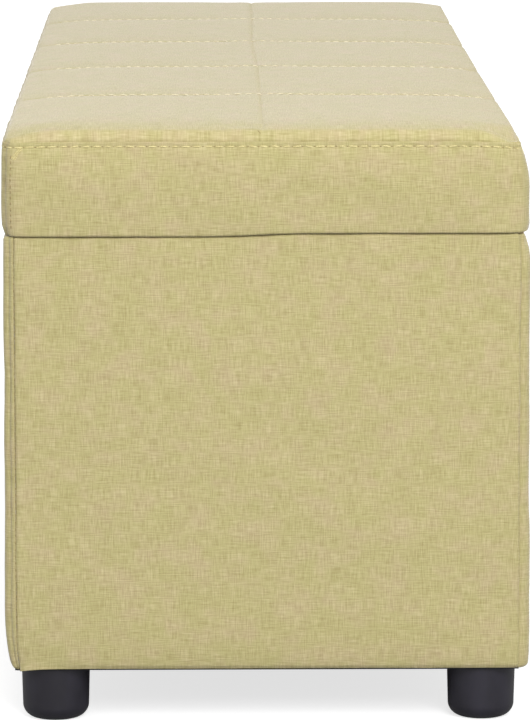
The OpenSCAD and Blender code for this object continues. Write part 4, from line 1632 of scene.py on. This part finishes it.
@dataclass(frozen=True)
class Studio:
    """Floor, soft light and camera.

    Args:
        eye: where the camera stands, m.
        aim: what it points at, m.
        lens: its focal length, mm.
        sky: brightness of the surroundings overhead.
        horizon: brightness of the surroundings at the horizon.
        above: power of the light overhead, W.
        ahead: power of the light in front, W.
        floor: half the side of the floor, m.
    """

    eye: tuple[float, float, float] = (-3.942, 0.0514, 0.7941)
    aim: tuple[float, float, float] = (-0.58, 0.0001, 0.2698)
    lens: float = 235.7
    sky: float = 0.8
    horizon: float = 1.0
    above: float = 8.0
    ahead: float = 174.0
    floor: float = 30.0

    def build(self, finishes: Finishes) -> None:
        """Adds the stage to the scene.

        Args:
            finishes: the materials.
        """
        corners = np.array([[-1, -1, 0], [1, -1, 0], [1, 1, 0], [-1, 1, 0]]) * (self.floor / MM)
        make_object("studio_floor", corners, [(0, 1, 2, 3)], finishes.floor)
        self.light("overhead_softbox", (-0.4, -0.3, 3.2), (-0.1, 0, 0.3), 3.0, self.above)
        self.light("front_softbox", (-4.3, -0.9, 2.9), (-0.5, 0, 0.25), 2.2, self.ahead)
        self.backdrop()
        data = bpy.data.cameras.new("camera")
        data.sensor_width, data.lens, data.clip_end = 36, self.lens, 200
        scene = bpy.context.scene
        scene.camera = self.stand("camera", data, self.eye, self.aim)
        scene.view_settings.view_transform = "Standard"

    @staticmethod
    def stand(name: str, data: bpy.types.ID, place: tuple, aim: tuple) -> bpy.types.Object:
        """Stands a camera or a light in the scene.

        Args:
            name: its name.
            data: the camera or light.
            place: where it stands, m.
            aim: what it points at, m.

        Returns:
            The object.
        """
        made = bpy.data.objects.new(name, data)
        made.location = place
        made.rotation_euler = (Vector(aim) - Vector(place)).to_track_quat("-Z", "Y").to_euler()
        bpy.context.scene.collection.objects.link(made)
        return made

    def light(self, name: str, place: tuple, aim: tuple, size: float, power: float) -> None:
        """Adds a square soft light.

        Args:
            name: its name.
            place: where it stands, m.
            aim: what it points at, m.
            size: its side, m.
            power: watts.
        """
        data = bpy.data.lights.new(name, "AREA")
        data.size, data.energy = size, power
        self.stand(name, data, place, aim)

    def backdrop(self) -> None:
        """Makes the surroundings white to the camera and softly bright to the object."""
        world = bpy.data.worlds.new("white_studio")
        bpy.context.scene.world = world
        world.use_nodes = True
        world.node_tree.nodes.clear()
        n = Nodes(world.node_tree)
        height = n.add("SeparateXYZ", {0: n.add("TexCoord").outputs["Generated"]}).outputs["Z"]
        fade = n.add("MapRange", {"Value": height, "From Min": -0.1, "To Min": self.horizon, "To Max": self.sky})
        white = linear("#ffffff")
        soft = n.add("Background", {"Color": white, "Strength": fade.outputs["Result"]})
        plain = n.add("Background", {"Color": white, "Strength": 1.0})
        seen = n.add("LightPath").outputs["Is Camera Ray"]
        mix = n.add("MixShader", {0: seen, 1: soft.outputs[0], 2: plain.outputs[0]})
        n.add("OutputWorld", {0: mix.outputs[0]})


# ---------------------------------------------------------------- putting it together


def box_mm(node: str) -> tuple[np.ndarray, np.ndarray]:
    """Lowest and highest corner of a CAD node, mm."""
    low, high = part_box(node)
    return np.array(low) / MM, np.array(high) / MM


def rounded_block(
    name: str, low: np.ndarray, high: np.ndarray, bevel: float, material: bpy.types.Material
) -> bpy.types.Object:
    """A block with softened edges.

    Args:
        name: the object's name.
        low: lowest corner, mm.
        high: highest corner, mm.
        bevel: width of the softened edges, mm.
        material: the finish.

    Returns:
        The object.
    """
    pick = np.array([[k & 1, k & 2, k & 4] for k in range(8)])
    faces = [(0, 2, 3, 1), (4, 5, 7, 6), (0, 1, 5, 4), (2, 6, 7, 3), (0, 4, 6, 2), (1, 3, 7, 5)]
    made = make_object(name, np.where(pick, high, low), faces, material)
    soften = made.modifiers.new("soft_edges", "BEVEL")
    soften.width, soften.segments = bevel * MM, 3
    return made


def declare(piece: bpy.types.Object, body: Body, node: str = "") -> None:
    """Ties a piece to its body, hides the CAD node that it replaces, and reports it.

    Args:
        piece: the object.
        body: what it moves with.
        node: the CAD node that it replaces, if any.
    """
    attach(piece, body.value)
    if node:
        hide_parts(node)
    LOG.info("%s: %d points", piece.name, len(piece.data.vertices))


@dataclass
class Bench:
    """The whole bench. Seams are places on the outlines of the body and the lid.

    Args:
        finishes: the materials.
        body_seams: places of the body's upright seams.
        lid_seams: places of the lid's.
        body_radius: corner radius of the body, mm.
        lid_radius: corner radius of the lid, mm.
        thread_step: spacing of the points of a stitched path, mm.
        staple_inset: distance of a row of staples from the edge of its cloth, mm.
    """

    finishes: Finishes = field(default_factory=Finishes)
    body_seams: tuple[float, ...] = (1.667, 3.262, 5.738, 7.333)
    lid_seams: tuple[float, ...] = (1.54, 3.333, 5.667, 7.46)
    body_radius: float = 10.0
    lid_radius: float = 12.0
    thread_step: float = 2.0
    staple_inset: float = 8.0

    def frame_nodes(self) -> None:
        """Gives every CAD node its finish."""
        for name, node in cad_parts.items():
            node.data.materials.clear()
            node.data.materials.append(self.finishes.of_node(name))
        LOG.info("frame: %d nodes", len(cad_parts))

    @staticmethod
    def hinge_places() -> tuple[float, ...]:
        """Middles of the hinges along the bench, mm."""
        pins = (box_mm(f"hinge_{name}_pin") for name in ("left", "middle", "right"))
        return tuple(float((low[0] + high[0]) / 2) for low, high in pins)

    def body_covers(self) -> None:
        """Builds the covers of the body and their seams' stitches."""
        low, high = box_mm("cover_front")
        ends = (box_mm("cover_left_end")[0][0], box_mm("cover_right_end")[1][0])
        outline = Outline(ends, (low[1], box_mm("cover_rear")[1][1]), self.body_radius)
        wrap = Wrap(low[2], high[2], low_round=4.0, high_round=2.7, turn_low=20.0, turn_high=16.5)
        covers = BodyCovers(self.finishes, outline, wrap, self.body_seams, self.hinge_places())
        built = covers.build()
        for node, (piece, _) in built.items():
            declare(piece, Body.BASE, node)
        up = np.arange(wrap.length_at(low[2] + 8), wrap.length_at(high[2] - 4), self.thread_step)
        grids = [built[node][1] for node in ("cover_rear", "cover_left_end")]
        sewn = [grid.at(np.full(len(up), 0.2), up) for grid in grids]
        # The dark seam thread here is partly painted shade of the seam's needle holes.
        line = StitchLine(5.0, 2.4, 0.32, 0.05, 0.3)
        declare(line.build("cover_seam_stitches", sewn, self.finishes.seam_thread_painted_shade), Body.BASE)

    def lid_upholstery(self) -> None:
        """Builds the band, the quilted top, the foam and their stitches."""
        low, high = box_mm("seat_side_band")
        outline = Outline((low[0], high[0]), (low[1], high[1]), self.lid_radius)
        fine = tuple(high[2] - LidBand.stitch_down + d for d in (-2.2, -1.1, 0.0, 1.1, 2.2))
        wrap = Wrap(low[2], high[2], 1.8, 0.4, 16.5, 20.0, step=5.0, fine=fine, sink=3.0)
        band = LidBand(self.finishes, outline, wrap, self.lid_seams, self.hinge_places(), seed=8, bulge=1.5)
        grid, inner = band.surface(0, 8, closed=True)
        declare(grid.shell("boxing_band", inner, self.finishes.linen), Body.LID, "seat_side_band")
        quilt = QuiltedTop(self.finishes, band, high[2])
        top, top_grid = quilt.build()
        declare(top, Body.LID, "quilted_top")
        self.band_stitches(band, grid)
        self.quilt_stitches(quilt, top_grid)
        # The foam is a little lower than the CAD's block, because the panel's corners press it down.
        low, high = box_mm("seat_foam")
        foam = rounded_block("foam_block", low, high - (0, 0, 4.5), 5.0, self.finishes.foam)
        declare(foam, Body.LID, "seat_foam")

    def band_stitches(self, band: LidBand, grid: Grid) -> None:
        """Sews the topstitch below the upper seam, a bartack and the upright seams at the rear corners, and lays
        short dark cords between the topstitches as painted shade of the needle holes.

        Args:
            band: the boxing.
            grid: its outer surface.
        """
        thread, seam_thread_painted_shade = self.finishes.thread, self.finishes.seam_thread_painted_shade
        down = band.wrap.length_at(band.wrap.high - band.stitch_down)
        run = np.arange(0, grid.u[-1] + 2, self.thread_step)
        level = np.full(len(run), down)
        seams = band.seam_lengths()
        up = np.arange(band.wrap.length_at(band.wrap.low + 5), down - 1.5, self.thread_step)
        # The topstitch of the rear left corner ends in a bartack: short stitches across a slant to the seam.
        reach = np.linspace(-2.6, 2.6, 5)
        slant = [(seams[2] + 7.5 - 6.0 * share, down - 0.5 - 8.0 * share) for share in np.linspace(0.05, 1.0, 11)]
        tack = [grid.at(u + 0.85 * reach, v - 0.53 * reach) for u, v in slant]
        upright = [grid.at(np.full(len(up), seam), up) for seam in seams[1:3]]
        # Between two stitches of the topstitch, a short dark cord paints the shade of the needle hole.
        for name, line, paths, cord in (
            ("topstitch", StitchLine(8.0, 6.7, 0.6, 0.4, 0.3), [grid.at(run, level)], thread),
            ("bartack", StitchLine(5.0, 4.4, 0.32, 0.1, 0.2), tack, thread),
            ("needle_hole_painted_shade", StitchLine(8.0, 1.5, 0.45, 0.0, 0.3), [grid.at(run + 4.0, level)], seam_thread_painted_shade),
            ("corner_seam_stitches", StitchLine(4.2, 2.8, 0.4, 0.1, 0.3), upright, seam_thread_painted_shade),
        ):
            declare(line.build(name, paths, cord), Body.LID)

    def quilt_stitches(self, quilt: QuiltedTop, grid: Grid) -> None:
        """Sews the cross channels of the quilt and leaves a thread's tail at the middle seam.

        Args:
            quilt: the quilted top.
            grid: its outer surface.
        """
        line = StitchLine(8.0, 6.2, 0.45, 0.6, 0.4)
        thread = line.build("quilting_stitches", quilt.stitch_paths(grid), self.finishes.quilt_thread_painted_sheen)
        declare(thread, Body.LID)
        middle = grid.v[0] + quilt.long[0] - quilt.band.outline.y[0]
        tail = grid.at(grid.u[0] + np.linspace(6.0, 2.5, 6), middle + np.linspace(4.0, 1.6, 6))
        end = StitchLine(2.0, 2.2, 0.3, 0.15, 0.1).build("thread_tail", [tail], self.finishes.seam_thread_painted_shade)
        declare(end, Body.LID)

    def sheets(self) -> None:
        """Builds the storage lining, the dust cover and the lid lining."""
        self.storage_lining()
        for node, name, staples, body, board in (
            ("dust_cover", "stapled_dust_cloth", "dust_cloth_staples", Body.BASE, "floor_panel"),
            ("lid_lining", "stapled_lid_lining", "lid_lining_staples", Body.LID, "lid_board"),
        ):
            low, high = box_mm(node)
            piece = FlatSheet(low, high).build(name, self.finishes.black)
            declare(piece, body, node)
            x0, y0, x1, y1 = *(low[:2] + self.staple_inset), *(high[:2] - self.staple_inset)
            ring = np.array([(x0, y0), (x1, y0), (x1, y1), (x0, y1), (x0, y0)])
            reach = run_along(ring)
            at = np.arange(0, reach[-1], 6.0)
            path = np.column_stack([*(np.interp(at, reach, c) for c in ring.T), np.full(len(at), low[2])])
            self.staple(staples, body, [(path, np.broadcast_to((0.0, 0.0, -1.0), path.shape))])

    def staple(self, name: str, body: Body, paths: Sequence[tuple[np.ndarray, np.ndarray]]) -> None:
        """Shoots fine wire staples along paths."""
        wires = StitchLine(45.0, 10.0, 0.45, 0.15, 0.8).build(name, paths, self.finishes.screw, seed=6)
        declare(wires, body)

    def storage_lining(self) -> None:
        """Builds the cloth inside the storage space and its staples."""
        low, high = box_mm("storage_lining")
        floor = box_mm("floor_panel")[1][2]
        left, right = box_mm("corner_post_front_left"), box_mm("corner_post_rear_right")
        posts = (-left[1][0], left[1][1], right[0][1])
        lining = StorageLining((high[0], low[1], high[1]), posts, (floor, left[1][2], high[2]))
        piece = lining.build("stapled_storage_cloth", self.finishes.black)
        declare(piece, Body.BASE, "storage_lining")
        sewn = []
        for way, y in ((1.0, low[1]), (-1.0, high[1])):
            x, level = high[0] - 30, high[2] - self.staple_inset
            path = np.linspace((-x, y + way, level), (x, y + way, level), 120)
            sewn.append((path, np.broadcast_to((0.0, way, 0.0), path.shape)))
        self.staple("storage_staples", Body.BASE, sewn)


def main() -> None:
    """Builds the bench and its studio."""
    logging.basicConfig(level=logging.INFO, format="%(name)s: %(message)s")
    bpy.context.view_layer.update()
    bench = Bench()
    bench.frame_nodes()
    bench.body_covers()
    bench.lid_upholstery()
    bench.sheets()
    Studio().build(bench.finishes)


if __name__ == "__main__":
    main()
